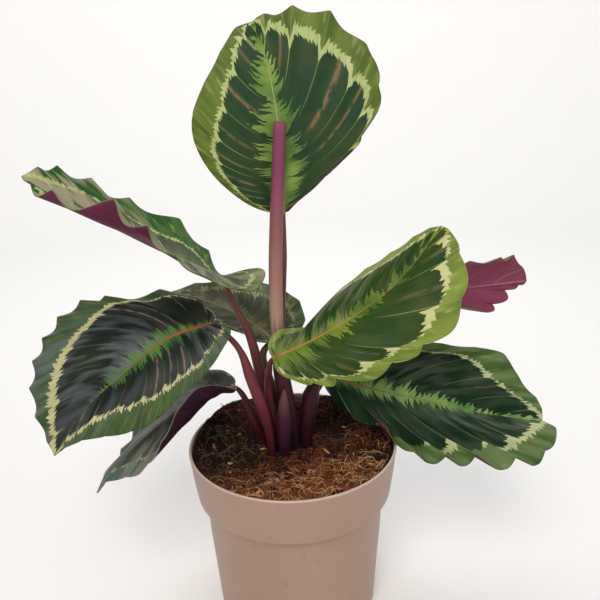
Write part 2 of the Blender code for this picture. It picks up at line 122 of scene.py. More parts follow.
def turned_pot():
    """A filled circle for the foot, extruded ring by ring up the outside, over the rim and down inside."""
    rings = [
        (BODY_FOOT_RADIUS - 0.2, 0.5), (BODY_FOOT_RADIUS + 0.1, 1.4), (BODY_FOOT_RADIUS + 0.3, 2.4),
        (BODY_TOP_RADIUS - 1.4, 74), (BODY_TOP_RADIUS, BODY_TOP - 1.2),
        (BODY_TOP_RADIUS + 0.35, BODY_TOP + 0.4), (BODY_TOP_RADIUS + 1.3, BODY_TOP + 2.4),
        (COLLAR_FOOT_RADIUS - 1.6, COLLAR_FOOT - 0.8), (COLLAR_FOOT_RADIUS - 0.4, COLLAR_FOOT),
        (COLLAR_FOOT_RADIUS, COLLAR_FOOT + 0.8), (COLLAR_FOOT_RADIUS + 0.4, COLLAR_FOOT + 3.4),
        (RIM_RADIUS - 2.0, POT_HEIGHT - 20), (RIM_RADIUS - 0.5, POT_HEIGHT - 3.6),
        (RIM_RADIUS - 0.1, POT_HEIGHT - 2.4), (RIM_RADIUS, POT_HEIGHT - 1.4),
        (RIM_RADIUS - 0.15, POT_HEIGHT - 0.6), (RIM_RADIUS - 0.6, POT_HEIGHT),
        (RIM_INNER_RADIUS + 0.6, POT_HEIGHT), (RIM_INNER_RADIUS + 0.1, POT_HEIGHT - 0.7),
        (RIM_INNER_RADIUS, POT_HEIGHT - 2), (COLLAR_FOOT_RADIUS - WALL, COLLAR_FOOT),
        (BODY_TOP_RADIUS - WALL, BODY_TOP), (BODY_FOOT_RADIUS - WALL, FLOOR + 1.0),
        (BODY_FOOT_RADIUS - 2.2, FLOOR),
    ]
    bpy.ops.object.select_all(action="DESELECT")
    radius, height = BODY_FOOT_RADIUS - 1.0, 0.0
    bpy.ops.mesh.primitive_circle_add(vertices=POT_SIDES, radius=radius * MM, fill_type="TRIFAN")
    pot = bpy.context.object
    bpy.ops.object.mode_set(mode="EDIT")
    for next_radius, next_height in rings:
        lift = (0, 0, (next_height - height) * MM)
        bpy.ops.mesh.extrude_region_move(TRANSFORM_OT_translate={"value": lift})
        share = next_radius / radius
        bpy.ops.transform.resize(value=(share, share, 1), center_override=(0, 0, next_height * MM))
        radius, height = next_radius, next_height
    bpy.ops.mesh.select_all(action="SELECT")
    bpy.ops.mesh.normals_make_consistent(inside=False)
    bpy.ops.object.mode_set(mode="OBJECT")
    for n in range(DRAIN_COUNT):
        turn = (n + 0.5) * math.tau / DRAIN_COUNT
        place = (DRAIN_RING * math.cos(turn) * MM, DRAIN_RING * math.sin(turn) * MM, 0)
        bpy.ops.mesh.primitive_cylinder_add(
            vertices=24, radius=DRAIN_RADIUS * MM, depth=4 * FLOOR * MM, location=place)
        drill = bpy.context.object
        hole = pot.modifiers.new("drain", "BOOLEAN")
        hole.operation = "DIFFERENCE"
        hole.solver = "EXACT"
        hole.object = drill
        bpy.context.view_layer.objects.active = pot
        bpy.ops.object.modifier_apply(modifier=hole.name)
        bpy.data.objects.remove(drill)
    bpy.ops.object.select_all(action="DESELECT")
    pot.select_set(True)
    bpy.ops.object.shade_smooth_by_angle(angle=math.radians(SMOOTH_ANGLE))
    return pot


pot = turned_pot()
pot.name = "nursery_pot"
pot.data.materials.append(taupe_polypropylene())
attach(pot, "root")
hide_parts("pot")


# The soil: brown peat mixed with coir, filled almost to the rim and pressed down by hand round the crown. It
# is heaped at the left back and sinks in a pit behind the crown, and the plant's roots run through it.
SOIL_LEVEL = 140.5
SOIL_HEAPS = (  # middle, spread and height in mm; below zero for a pit
    (-50, 46, 38, 11.0),
    (60, 10, 26, 5.5),
    (42, 66, 26, 6.0),
    (36, 36, 20, -9.0),
    (-52, -22, 22, -2.0),
)
WALL_RISE = 5.5  # how much higher the soil lies at the wall than at the crown, in mm
SOIL_EDGE_RADIUS = 80.9
SOIL_SIDE = ((78.4, COLLAR_FOOT), (71.8, BODY_TOP), (65.0, FLOOR + 0.4))  # radius and height, in mm
SOIL_CELLS = 190
CRUMB_COUNT = 900
CHIP_COUNT = 26
FIBRE_COUNT = 3000
FIBRE_RINGS = 8
OLD_SHADE = 1.5  # the shade of a grey old fibre; the others run from 0, dark, to 1, straw
CROWN = (-3, 4)  # the middle of the crown, which crumbs and fibres leave free
CROWN_HALF = (20, 18)
# Dark patches: painted shade in the pit behind the crown, and a darker stretch on the left.
DARK_PATCHES = (((0.038, 0.040, 0.137), 0.034), ((-0.055, -0.004, 0.145), 0.05))  # middle and radius in m


def soil_height(x, y):
    height = SOIL_LEVEL + WALL_RISE * (math.hypot(x, y) / SOIL_EDGE_RADIUS)**4
    for hx, hy, spread, lift in SOIL_HEAPS:
        height += lift * math.exp(-((x - hx)**2 + (y - hy)**2) / (2 * (spread * 0.7)**2))
    return height


def soil_top(x, y):
    """The height of the crumbled surface: lumps some 7 mm wide with grains of 2 mm on them."""
    lumps = noise.noise(Vector((x / 7.0, y / 7.0, 3.0)))
    grains = noise.noise(Vector((x / 2.3, y / 2.3, 9.0)))
    return soil_height(x, y) + 1.9 * lumps + 0.9 * grains


def damp_peat():
    """Peat is matt and nearly black where damp, with rust brown crumbs and dry tan specks of bark, and
    painted shade in a pit.
    """
    made, tree, shader = new_material("damp_peat", Roughness=0.95, Specular_IOR_Level=0.2)
    place = node(tree, "TexCoord").outputs["Object"]
    lumps = node(tree, "TexNoise", {"Vector": place, "Scale": 110.0, "Detail": 6.0, "Roughness": 0.7})
    patch = node(tree, "TexNoise", {"Vector": place, "Scale": 22.0, "Detail": 2.0})
    dry = node(tree, "MapRange", {"Value": patch.outputs[0], "From Min": 0.42, "From Max": 0.62})
    crumb = node(tree, "MapRange", {"Value": lumps.outputs[0], "From Min": 0.38, "From Max": 0.66})
    rust = {0: dry.outputs[0], 6: colour("#2E1610"), 7: colour("#6E3822")}
    rust = node(tree, "Mix", rust, data_type="RGBA")
    ground = {0: crumb.outputs[0], 6: colour("#0E0705"), 7: rust.outputs[2]}
    tone = node(tree, "Mix", ground, data_type="RGBA").outputs[2]
    specks = node(tree, "TexVoronoi", {"Vector": place, "Scale": 420.0}).outputs["Distance"]
    spot = node(tree, "MapRange", {"Value": specks, "From Min": 0.22, "From Max": 0.12})
    some = node(tree, "MapRange", {"Value": lumps.outputs[0], "From Min": 0.55, "From Max": 0.62})
    bark = node(tree, "Math", {0: spot.outputs[0], 1: some.outputs[0]}, operation="MULTIPLY")
    # The front is painted a lighter orange brown.
    depth = node(tree, "SeparateXYZ", {0: place}).outputs["Y"]
    front = {"Value": depth, "From Min": -0.035, "From Max": -0.065, "To Max": 0.6}
    front = node(tree, "MapRange", front)
    lighter_front = node(tree, "Math", {0: front.outputs[0], 1: crumb.outputs[0]}, operation="MULTIPLY")
    layers = [(bark, "#A5784F"), (lighter_front, "#8E4A2A")]
    # The pit behind the crown is painted nearly black as painted shade, and the soil on the left is painted
    # darker.
    for middle, radius in DARK_PATCHES:
        away = node(tree, "VectorMath", {0: place, 1: middle}, operation="DISTANCE").outputs["Value"]
        span = {"Value": away, "From Min": radius, "From Max": radius * 0.5, "To Max": 0.85}
        layers.append((node(tree, "MapRange", span), "#0B0504"))
    for shown, code in layers:
        laid = {0: shown.outputs[0], 6: tone, 7: colour(code)}
        tone = node(tree, "Mix", laid, data_type="RGBA").outputs[2]
    tree.links.new(tone, shader.inputs["Base Color"])
    bump = node(tree, "Bump", {"Height": lumps.outputs[0], "Distance": 0.0012, "Strength": 0.9})
    tree.links.new(bump.outputs[0], shader.inputs["Normal"])
    return made


def coir():
    """Coconut fibre: wiry, dark brown to orange, straw where dry and grey where old, each in one shade."""
    made, tree, shader = new_material("coir_fibre", Roughness=0.7, Specular_IOR_Level=0.3)
    shade = node(tree, "Attribute", attribute_name="shade").outputs["Fac"]
    straw = node(tree, "MapRange", {"Value": shade, "From Min": 0.78, "From Max": 1.0}).outputs[0]
    old = node(tree, "MapRange", {"Value": shade, "From Min": 1.0, "From Max": OLD_SHADE}).outputs[0]
    tone = colour("#1E0F0A")
    for shown, code in ((shade, "#B4672F"), (straw, "#DFB982"), (old, "#6E6246")):
        laid = {0: shown, 6: tone, 7: colour(code)}
        tone = node(tree, "Mix", laid, data_type="RGBA").outputs[2]
    tree.links.new(tone, shader.inputs["Base Color"])
    return made


def places_of(mesh):
    flat = np.empty(len(mesh.vertices) * 3)
    mesh.vertices.foreach_get("co", flat)
    return flat.reshape(-1, 3)


def set_places(mesh, points_mm):
    mesh.vertices.foreach_set("co", (np.asarray(points_mm) * MM).ravel())
    mesh.update()


def shade_smooth(mesh):
    mesh.polygons.foreach_set("use_smooth", [True] * len(mesh.polygons))


def set_ring(piece, radius, height):
    """Draws the selected points to a circle of this radius at this height."""
    for point in piece.data.vertices:
        if point.select:
            flat = Vector((point.co.x, point.co.y, 0)).normalized() * radius * MM
            point.co = (flat.x, flat.y, height * MM)


def soil_bed():
    """A square grid drawn out to a disc and raised to the surface, its edge extruded down to the floor."""
    bpy.ops.object.select_all(action="DESELECT")
    bpy.ops.mesh.primitive_grid_add(x_subdivisions=SOIL_CELLS, y_subdivisions=SOIL_CELLS, size=2)
    bed = bpy.context.object
    square = places_of(bed.data)
    x = square[:, 0] * np.sqrt(1 - square[:, 1]**2 / 2) * SOIL_EDGE_RADIUS
    y = square[:, 1] * np.sqrt(1 - square[:, 0]**2 / 2) * SOIL_EDGE_RADIUS
    set_places(bed.data, [(a, b, soil_top(a, b)) for a, b in zip(x, y)])
    bpy.ops.object.mode_set(mode="EDIT")
    bpy.ops.mesh.select_all(action="DESELECT")
    bpy.ops.mesh.select_mode(type="EDGE")
    bpy.ops.mesh.select_non_manifold()
    for radius, height in SOIL_SIDE:
        bpy.ops.mesh.extrude_edges_move(TRANSFORM_OT_translate={"value": (0, 0, -0.002)})
        bpy.ops.object.mode_set(mode="OBJECT")
        set_ring(bed, radius, height)
        bpy.ops.object.mode_set(mode="EDIT")
    bpy.ops.mesh.edge_face_add()
    bpy.ops.mesh.select_all(action="SELECT")
    bpy.ops.mesh.normals_make_consistent(inside=False)
    bpy.ops.object.mode_set(mode="OBJECT")
    shade_smooth(bed.data)
    return bed


def mesh_piece(name, points_mm, faces, shades=None):
    """One object from arrays of points and faces, with a shade for each point."""
    mesh = bpy.data.meshes.new(name)
    mesh.from_pydata((np.asarray(points_mm) * MM).tolist(), [], np.asarray(faces).tolist())
    if shades is not None:
        mesh.attributes.new("shade", "FLOAT", "POINT").data.foreach_set("value", shades)
    shade_smooth(mesh)
    made = bpy.data.objects.new(name, mesh)
    bpy.context.collection.objects.link(made)
    return made


def soil_spot(chance, reach):
    """A place on the soil, evenly spread, clear of the crown."""
    while True:
        turn = chance.uniform(0, math.tau)
        radius = reach * math.sqrt(chance.random())
        x, y = radius * math.cos(turn), radius * math.sin(turn)
        if math.hypot((x - CROWN[0]) / CROWN_HALF[0], (y - CROWN[1]) / CROWN_HALF[1]) > 1:
            return x, y


def soil_crumbs():
    """Small lumps of peat: one faceted ball, copied at many sizes, squashed, turned and half sunk."""
    chance = random.Random(11)
    bpy.ops.object.select_all(action="DESELECT")
    bpy.ops.mesh.primitive_ico_sphere_add(subdivisions=2, radius=1)
    ball = bpy.context.object
    shape = places_of(ball.data)
    corners = np.array([face.vertices[:] for face in ball.data.polygons])
    bpy.data.objects.remove(ball)
    points, faces = [], []
    for n in range(CRUMB_COUNT):
        size = chance.uniform(0.7, 1.7) if n % 5 else chance.uniform(1.8, 3.8)
        x, y = soil_spot(chance, 79 - size)
        turn = chance.uniform(0, math.tau)
        rough = np.array([noise.noise(Vector(p * 1.4) + Vector((n, 0, 0))) for p in shape])
        lump = shape * (1 + 0.55 * rough)[:, None] * (size, size * chance.uniform(0.6, 1), size * 0.7)
        c, s = math.cos(turn), math.sin(turn)
        lump = lump @ np.array(((c, s, 0), (-s, c, 0), (0, 0, 1)))
        faces.append(corners + n * len(shape))
        points.append(lump + (x, y, soil_top(x, y) + size * 0.15))
    return mesh_piece("peat_crumbs", np.concatenate(points), np.concatenate(faces))


def bark_chips():
    """Slivers of bark, lying at all angles: one flat block, worn out of true, copied at many sizes."""
    chance = random.Random(23)
    bpy.ops.object.select_all(action="DESELECT")
    bpy.ops.mesh.primitive_cube_add(size=2)
    block = bpy.context.object
    bpy.ops.object.mode_set(mode="EDIT")
    bpy.ops.mesh.subdivide(number_cuts=2)
    bpy.ops.object.mode_set(mode="OBJECT")
    shape = places_of(block.data)
    corners = np.array([face.vertices[:] for face in block.data.polygons])
    bpy.data.objects.remove(block)
    points, faces, shades = [], [], []
    for n in range(CHIP_COUNT):
        x, y = soil_spot(chance, 74)
        ragged = np.array([noise.noise(Vector(p * 0.9) + Vector((n, 4, 0))) for p in shape])
        size = (chance.uniform(2.0, 4.2), chance.uniform(0.6, 1.3), 0.35)
        chip = shape * size * (1 + 0.5 * ragged)[:, None]
        turn, lean = chance.uniform(0, math.tau), chance.uniform(-0.5, 0.5)
        spin = np.array(Matrix.Rotation(turn, 3, "Z") @ Matrix.Rotation(lean, 3, "Y"))
        faces.append(corners + n * len(shape))
        points.append(chip @ spin.T + (x, y, soil_top(x, y) + 0.9))
        shades += [chance.uniform(0.45, 1.0)] * len(shape)
    return mesh_piece("bark_chips", np.concatenate(points), np.concatenate(faces), shades)


def coir_fibres():
    """Thin curved threads lying on the soil and low at their ends, thickest at the front."""
    chance = random.Random(5)
    points, faces, shades = [], [], []
    turn = np.arange(3) * math.tau / 3
    for n in range(FIBRE_COUNT):
        x, y = soil_spot(chance, 78)
        if y > -25 and n % 3:
            x, y = soil_spot(chance, 78)
        length = chance.uniform(4, 12) if n % 5 else chance.uniform(12, 26)
        heading = chance.uniform(0, math.tau)
        bend = chance.uniform(-1, 1) * 1.3
        curl = chance.uniform(-1, 1) * 0.6
        hump = chance.uniform(0.2, 1.6) if n % 9 else chance.uniform(2.0, 4.5)
        thick = chance.uniform(0.13, 0.3)
        share = np.linspace(0, 1, FIBRE_RINGS)
        way = heading + bend * (share - 0.5) + curl * np.sin(math.tau * share)
        step = length / (FIBRE_RINGS - 1)
        along_x = x + np.concatenate([[0], np.cumsum(np.cos(way[:-1]) * step)])
        along_y = y + np.concatenate([[0], np.cumsum(np.sin(way[:-1]) * step)])
        far = np.hypot(along_x, along_y)
        inside = np.minimum(1, 79.6 / np.maximum(far, 1e-6))
        along_x, along_y = along_x * inside, along_y * inside
        rise = [soil_top(a, b) for a, b in zip(along_x, along_y)]
        lift = hump * np.sin(math.pi * share)**0.7 + 0.25
        centre = np.stack([along_x, along_y, np.array(rise) + lift], axis=1)
        radius = thick * (1 - 0.6 * np.abs(2 * share - 1)**3)
        across = np.stack([-np.sin(way), np.cos(way), np.zeros_like(way)], axis=1)
        ring = (centre[:, None] + across[:, None] * (radius[:, None] * np.cos(turn))[..., None]
                + np.array((0, 0, 1.0)) * (radius[:, None] * np.sin(turn))[..., None])
        base = n * FIBRE_RINGS * 3
        for i in range(FIBRE_RINGS - 1):
            for j in range(3):
                a, b = base + i * 3 + j, base + i * 3 + (j + 1) % 3
                faces += [(a, b, b + 3), (a, b + 3, a + 3)]
        last = base + (FIBRE_RINGS - 1) * 3
        faces += [(base + 2, base + 1, base), (last, last + 1, last + 2)]
        points.append(ring.reshape(-1, 3))
        warmth = 0.5 + 0.5 * math.tanh((x * 0.35 - y - 22) / 22)
        shade = min(1, max(0, chance.gauss(0.08 + 0.68 * warmth, 0.27)))
        if x < -10 and n % 9 == 0:
            shade = OLD_SHADE
        shades += [shade] * (FIBRE_RINGS * 3)
    return mesh_piece("coir_fibres", np.concatenate(points), faces, shades)


peat = damp_peat()
bed = soil_bed()
bed.name = "soil_bed"
crumbs = soil_crumbs()
fibre = coir()
for piece, finish in ((bed, peat), (crumbs, peat), (bark_chips(), fibre), (coir_fibres(), fibre)):
    piece.data.materials.append(finish)
    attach(piece, "root")
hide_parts("soil")


# The eight leaves: each grew as one piece, a thin waved blade on a stalk whose foot sheathes its neighbours.
# The upper face is dark green between its side veins, with a light feathered centre and a cream ring; the
# lower face is wine purple. A side vein ends at each crest of the margin.
BLADE_EDGE = 0.9
BLADE_RIB = 2.3
VEIN_SWEEP = 0.15
RIB_TOE = 0.09
ROWS_PER_WAVE = 16
BLADE_COLUMNS = 56
STALK_FOOT = 119.0
STALK_SIDES = 28
STALK_RINGS = 60
CAP_RINGS = 3  # rings that close a cut end
QUILT = 0.55  # how far a cell between two side veins stands proud of them, in mm
TAIL = 7.0  # how far a wedge of the ring runs inwards along its side vein, in mm


def smoothstep(low, high, x):
    t = np.clip((x - low) / (high - low), 0, 1)
    return t * t * (3 - 2 * t)


def unit(v):
    return v / np.maximum(np.linalg.norm(v, axis=-1, keepdims=True), 1e-9)


def spline(points, share):
    """A natural cubic through the points: places and directions at these shares of its chord length."""
    p = np.asarray(points, float)
    knots = np.concatenate([[0], np.cumsum(np.linalg.norm(np.diff(p, axis=0), axis=1))])
    knots /= knots[-1]
    step = np.diff(knots)
    count = len(p)
    system = np.eye(count)
    right = np.zeros_like(p)
    for i in range(1, count - 1):
        system[i, i - 1:i + 2] = step[i - 1], 2 * (step[i - 1] + step[i]), step[i]
        right[i] = 6 * ((p[i + 1] - p[i]) / step[i] - (p[i] - p[i - 1]) / step[i - 1])
    bend = np.linalg.solve(system, right)
    share = np.asarray(share, float)
    i = np.clip(np.searchsorted(knots, share) - 1, 0, count - 2)
    h = step[i][..., None]
    before = (knots[i + 1] - share)[..., None]
    after = (share - knots[i])[..., None]
    place = (bend[i] * before**3 + bend[i + 1] * after**3) / (6 * h)
    place += (p[i] / h - bend[i] * h / 6) * before + (p[i + 1] / h - bend[i + 1] * h / 6) * after
    slope = (bend[i + 1] * after**2 - bend[i] * before**2) / (2 * h)
    slope += (p[i + 1] - p[i]) / h - (bend[i + 1] - bend[i]) * h / 6
    return place, slope


def along(values, share):
    return np.interp(share, np.linspace(0, 1, len(values)), values)


def rib_share(vein):
    """Where a side vein leaves the midrib, given where along the margin it ends."""
    return 0.62 * vein**1.6 + 0.38 * vein**8


def blade_surface(leaf, wave, out):
    """Upper face of a blade, in mm, with its share along the margin and its half width at each point."""
    wave, out = np.broadcast_arrays(wave, out)
    count = len(leaf["crests"][0])
    marks = (0.5, *range(1, count + 1), count + 0.5)
    veins = [np.interp(wave, marks, (0, *crests, 1)) for crests in leaf["crests"]]
    rib, slope = spline(leaf["rib"], rib_share(sum(veins) / 2))
    forward = unit(slope)
    reach = np.abs(out)
    crest = 1 - np.sqrt(np.sin(np.pi * wave)**2 + 0.004)
    cell = np.abs(np.sin(np.pi * wave))
    surface = rib.copy()
    share = veins[0].copy()
    width = np.zeros_like(share)
    for j, (side, name) in enumerate(((-1, "left"), (1, "right"))):
        vein = veins[j]
        margin = spline((leaf["rib"][0], *leaf[name], leaf["rib"][-1]), vein)[0]
        across = margin - rib
        up = unit(np.cross(across, forward)) * side
        half = np.linalg.norm(across, axis=-1)
        grow = smoothstep(0.02, 0.16, vein) * (1 - 0.8 * smoothstep(0.9, 1, vein))
        lift = along(leaf["height"][j], vein) * grow * (1.5 * crest - 0.5) * reach**2.4
        arch = 4 * reach * (1 - reach) * smoothstep(0, 0.08, vein) * smoothstep(0, 0.08, 1 - vein)
        bow = along(leaf["bow"][j], vein) * arch + QUILT * (cell - 0.5) * arch * grow
        sweep = half * VEIN_SWEEP * arch * smoothstep(0.12, 0.6, vein)
        stretch = reach * (1 - along(leaf["notch"][j], vein) * crest * grow * reach**3)
        side_face = rib + across * stretch[..., None] + up * (bow + lift)[..., None]
        side_face -= forward * sweep[..., None]
        here = out * side > 0
        surface = np.where(here[..., None], side_face, surface)
        share = np.where(here, vein, share)
        width = np.where(here | (out == 0), half, width)
    return surface, share, width


def blade_pattern(leaf, wave, out, share, width):
    """Where the coloured bands lie, as distances in mm, so that their edges keep one scale on every leaf."""
    look = leaf["look"]
    chance = random.Random(look["seed"])
    cell = np.floor(wave).astype(int)
    right = (out > 0).astype(int)
    reach = np.abs(out)
    phase = wave - cell
    from_vein = np.minimum(phase, 1 - phase)
    distance = reach * width

    def listed(key, place):
        """A value from this side's list, read along the leaf."""
        return np.where(right, along(look[key][1], place), along(look[key][0], place))

    def drawn(low, high):
        """A value of its own for each cell between two side veins."""
        cells = range(cell.max() + 2)
        return np.array([[chance.uniform(low, high) for _ in cells] for _ in range(2)])[right, cell]

    spike, arc, wedge = (np.where(right, look[key][1], look[key][0]) for key in ("spike", "arc", "wedge"))
    band = listed("band", share) * drawn(0.8, 1.2)
    middle = listed("ring", share) * width + drawn(-0.7, 0.7)
    middle += arc * (np.sin(np.pi * phase) - 0.6) - spike * np.exp(-(from_vein / 0.07)**2)
    outer = middle + band
    fill = 1 - wedge * (1 - phase**1.4)
    inner = outer - 2 * band * fill - TAIL * wedge * np.exp(-((1 - phase) / 0.11)**2)
    lobe = smoothstep(0, 0.12, phase) * (1 - 0.62 * smoothstep(0.35, 0.95, phase))
    feather = listed("feather", rib_share(share)) * drawn(0.8, 1.15) * (0.3 + 0.7 * lobe)
    streak = np.exp(-((phase - drawn(0.4, 0.6)) / drawn(0.03, 0.07))**2)
    streak *= smoothstep(0, 0.3, drawn(-look["sparse"], 1))
    streak *= smoothstep(look["reach"], look["reach"] + 0.15, reach)
    line = smoothstep(0.25, 0.55, reach) * np.where(phase < 0.5, drawn(0.3, 1), 0.8)
    line *= np.where(distance < outer, 1, 0.45)
    # bands: outside the ring's inner edge, inside its outer edge, inside the feathered centre.
    return {
        "bands": np.stack([distance - inner, outer - distance, feather - distance], axis=-1),
        "veins": np.stack([distance * (2 * right - 1), wave, from_vein * np.maximum(width, 8) * 0.35], -1),
        "marks": np.stack([width - distance, share, streak], axis=-1),
        # The first of the tones is how strongly the painted sheen, a grey reflection painted into the colour,
        # shows.
        "tones": np.stack([listed("painted_sheen", share), line, reach], axis=-1),
    }


def leaf_upper(name, look):
    """The upper face: a waxy skin with a soft gloss, its colours laid in barbs along the side veins."""
    made, tree, shader = new_material(name, IOR=1.45, Specular_IOR_Level=look["gloss"])
    part = {}
    for key in ("bands", "veins", "marks", "tones"):
        held = node(tree, "Attribute", attribute_name=key).outputs["Vector"]
        part[key] = node(tree, "SeparateXYZ", {0: held}).outputs
    veins = node(tree, "Attribute", attribute_name="veins").outputs["Vector"]
    place = node(tree, "TexCoord").outputs["Object"]
    cloud = node(tree, "TexNoise", {"Vector": place, "Scale": 38.0, "Detail": 2.0}).outputs[0]
    # Noise drawn out along the side veins, from broad bands to threads: strokes per mm, per vein, and detail.
    strokes = dict(
        broad=(0.03, 2.2, 2.0), fine=(0.03, 9.0, 2.0), dashes=(0.07, 5.0, 2.0), worn=(0.14, 7.0, 2.0),
        threads=(0.02, 18.0, 2.0), X=(0.09, 2.6, 3.0), Y=(0.09, 2.6, 3.0), Z=(0.09, 2.6, 3.0),
    )
    grain = {}
    for start, (key, (per_mm, per_vein, detail)) in enumerate(strokes.items()):
        lay = {0: veins, 1: (per_mm, per_vein, 0.0), 2: (9.0 * start, 5.0 * start, 0.0)}
        lay = node(tree, "VectorMath", lay, operation="MULTIPLY_ADD").outputs[0]
        grain[key] = node(tree, "TexNoise", {"Vector": lay, "Scale": 1.0, "Detail": detail}).outputs[0]
    # Each edge between two colours is drawn out in pointed barbs, each of its own length.
    mask = {}
    for side, length in zip(("X", "Y", "Z"), look["barb"]):
        even = {0: part["veins"]["Y"], 1: look["barbs"], 2: length}
        even = node(tree, "Math", even, operation="MULTIPLY_ADD")
        sway = node(tree, "Math", {0: grain[side], 1: 2.4, 2: even.outputs[0]}, operation="MULTIPLY_ADD")
        own = node(tree, "Math", {0: sway.outputs[0]}, operation="FLOOR")
        tip = node(tree, "TexWhiteNoise", {"W": own.outputs[0]}, noise_dimensions="1D")
        fall = node(tree, "Math", {0: sway.outputs[0]}, operation="FRACT")
        rise = node(tree, "Math", {0: tip.outputs[0], 1: fall.outputs[0]}, operation="SUBTRACT")
        edge = {0: rise.outputs[0], 1: length, 2: part["bands"][side]}
        edge = node(tree, "Math", edge, operation="MULTIPLY_ADD")
        span = {"Value": edge.outputs[0], "From Min": -0.22, "From Max": 0.22}
        mask[side] = node(tree, "MapRange", span).outputs[0]
    # The midrib narrows from base to tip.
    from_rib = node(tree, "Math", {0: part["veins"]["X"]}, operation="ABSOLUTE").outputs[0]
    rib_half = {"Value": part["marks"]["Y"], "To Min": look["rib"], "To Max": 0.3}
    rib_half = node(tree, "MapRange", rib_half).outputs[0]
    in_rib = node(tree, "Math", {0: rib_half, 1: from_rib}, operation="SUBTRACT").outputs[0]
    # How strongly each tint shows: a value, the stretch of it over which the tint comes in, and the most.
    tints = dict(
        deep=(grain["broad"], 0.35, 0.65, 1.0), olive=(cloud, 0.45, 0.7, 0.75),
        lines=(grain["fine"], 0.45, 0.75, 0.4), worn=(grain["worn"], 0.36, 0.5, look["streak"]),
        light=(cloud, 0.35, 0.65, 1.0), shaded=(grain["fine"], 0.45, 0.7, 0.3),
        straw=(grain["dashes"], 0.57, 0.7, 0.6), pale=(grain["fine"], 0.35, 0.65, 1.0),
        line=(part["veins"]["Z"], 0.55, 0.1, look["line"]), rib=(in_rib, -0.3, 0.25, 1.0),
        rib_tip=(part["marks"]["Y"], look["rib_end"] - 0.08, look["rib_end"] + 0.08, 1.0),
        # A painted sheen: grey laid over the face where the blade would catch a soft reflection.
        painted_sheen=(grain["broad"], 0.42, 0.62, 1.0), rim=(part["marks"]["X"], 0.6, 0.1, 0.55),
    )
    for key, (value, low, high, most) in tints.items():
        span = {"Value": value, "From Min": low, "From Max": high, "To Max": most}
        mask[key] = node(tree, "MapRange", span).outputs[0]
    shares = dict(
        worn=(mask["worn"], part["marks"]["Z"]), ring=(mask["X"], mask["Y"]),
        line=(mask["line"], part["tones"]["Y"]), painted_sheen=(mask["painted_sheen"], part["tones"]["X"]),
    )
    for key, (one, other) in shares.items():
        mask[key] = node(tree, "Math", {0: one, 1: other}, operation="MULTIPLY").outputs[0]
    # The colours are laid one over another: the dark cells, the feathered centre, the plainer green margin
    # with its straw dashes, a painted sheen, the cream ring, the vein lines, the midrib and the pale rim.
    # Each row names what it makes, what shows it, and the colours under and over.
    layers = (
        ("cell", "deep", "dark", "deep"), ("cell", "olive", "cell", "olive"),
        ("cell", "lines", "cell", "olive"), ("cell", "worn", "cell", "streak"),
        ("centre", "light", "feather", "light"), ("centre", "shaded", "centre", "deep"),
        ("cell", "Z", "cell", "centre"), ("edge", "deep", "margin", "fresh"),
        ("edge", "straw", "edge", "straw"), ("face", "Y", "edge", "cell"),
        ("face", "painted_sheen", "face", "painted_sheen"), ("cream", "pale", "ring", "pale"),
        ("face", "ring", "face", "cream"), ("face", "line", "face", "pale"),
        ("stem", "rib_tip", "rib", "rib_tip"), ("face", "rib", "face", "stem"),
        ("face", "rim", "face", "rim"),
    )
    skin = {key: colour(code) for key, code in look["colours"].items()}
    for key, shown, under, over in layers:
        laid = {0: mask[shown], 6: skin[under], 7: skin[over]}
        skin[key] = node(tree, "Mix", laid, data_type="RGBA").outputs[2]
    tree.links.new(skin["face"], shader.inputs["Base Color"])
    rough = node(tree, "MapRange", {"Value": grain["threads"], "From Min": 0.3, "From Max": 0.7,
                                    "To Min": look["rough"] - 0.05, "To Max": look["rough"] + 0.08})
    tree.links.new(rough.outputs[0], shader.inputs["Roughness"])
    away = node(tree, "MapRange", {"Value": part["tones"]["Z"], "From Min": 0.1, "From Max": 0.6})
    relief = node(tree, "Math", {0: grain["threads"], 1: away.outputs[0]}, operation="MULTIPLY")
    bump = node(tree, "Bump", {"Height": relief.outputs[0], "Distance": 0.0003, "Strength": 0.5})
    tree.links.new(bump.outputs[0], shader.inputs["Normal"])
    return made


def leaf_under(name, deep, fresh, line):
    """The lower face of a leaf: wine purple, matt like suede, with paler side veins and a paler midrib."""
    made, tree, shader = new_material(name, IOR=1.45, Specular_IOR_Level=0.2)
    veins = node(tree, "Attribute", attribute_name="veins").outputs["Vector"]
    vein = node(tree, "SeparateXYZ", {0: veins}).outputs
    threads = node(tree, "VectorMath", {0: veins, 1: (0.05, 14.0, 0.0)}, operation="MULTIPLY").outputs[0]
    thread = node(tree, "TexNoise", {"Vector": threads, "Scale": 1.0, "Detail": 3.0}).outputs[0]
    near = node(tree, "MapRange", {"Value": vein["Z"], "From Min": 0.6, "From Max": 0.1, "To Max": 0.3})
    from_rib = node(tree, "Math", {0: vein["X"]}, operation="ABSOLUTE").outputs[0]
    rib = node(tree, "MapRange", {"Value": from_rib, "From Min": 1.3, "From Max": 0.5, "To Max": 0.8})
    tone = colour(deep)
    for shown, code in ((thread, fresh), (near.outputs[0], line), (rib.outputs[0], line)):
        laid = {0: shown, 6: tone, 7: colour(code)}
        tone = node(tree, "Mix", laid, data_type="RGBA").outputs[2]
    tree.links.new(tone, shader.inputs["Base Color"])
    rough = node(tree, "MapRange", {"Value": thread, "To Min": 0.5, "To Max": 0.75})
    tree.links.new(rough.outputs[0], shader.inputs["Roughness"])
    bump = node(tree, "Bump", {"Height": thread, "Distance": 0.0004, "Strength": 0.8})
    tree.links.new(bump.outputs[0], shader.inputs["Normal"])
    return made


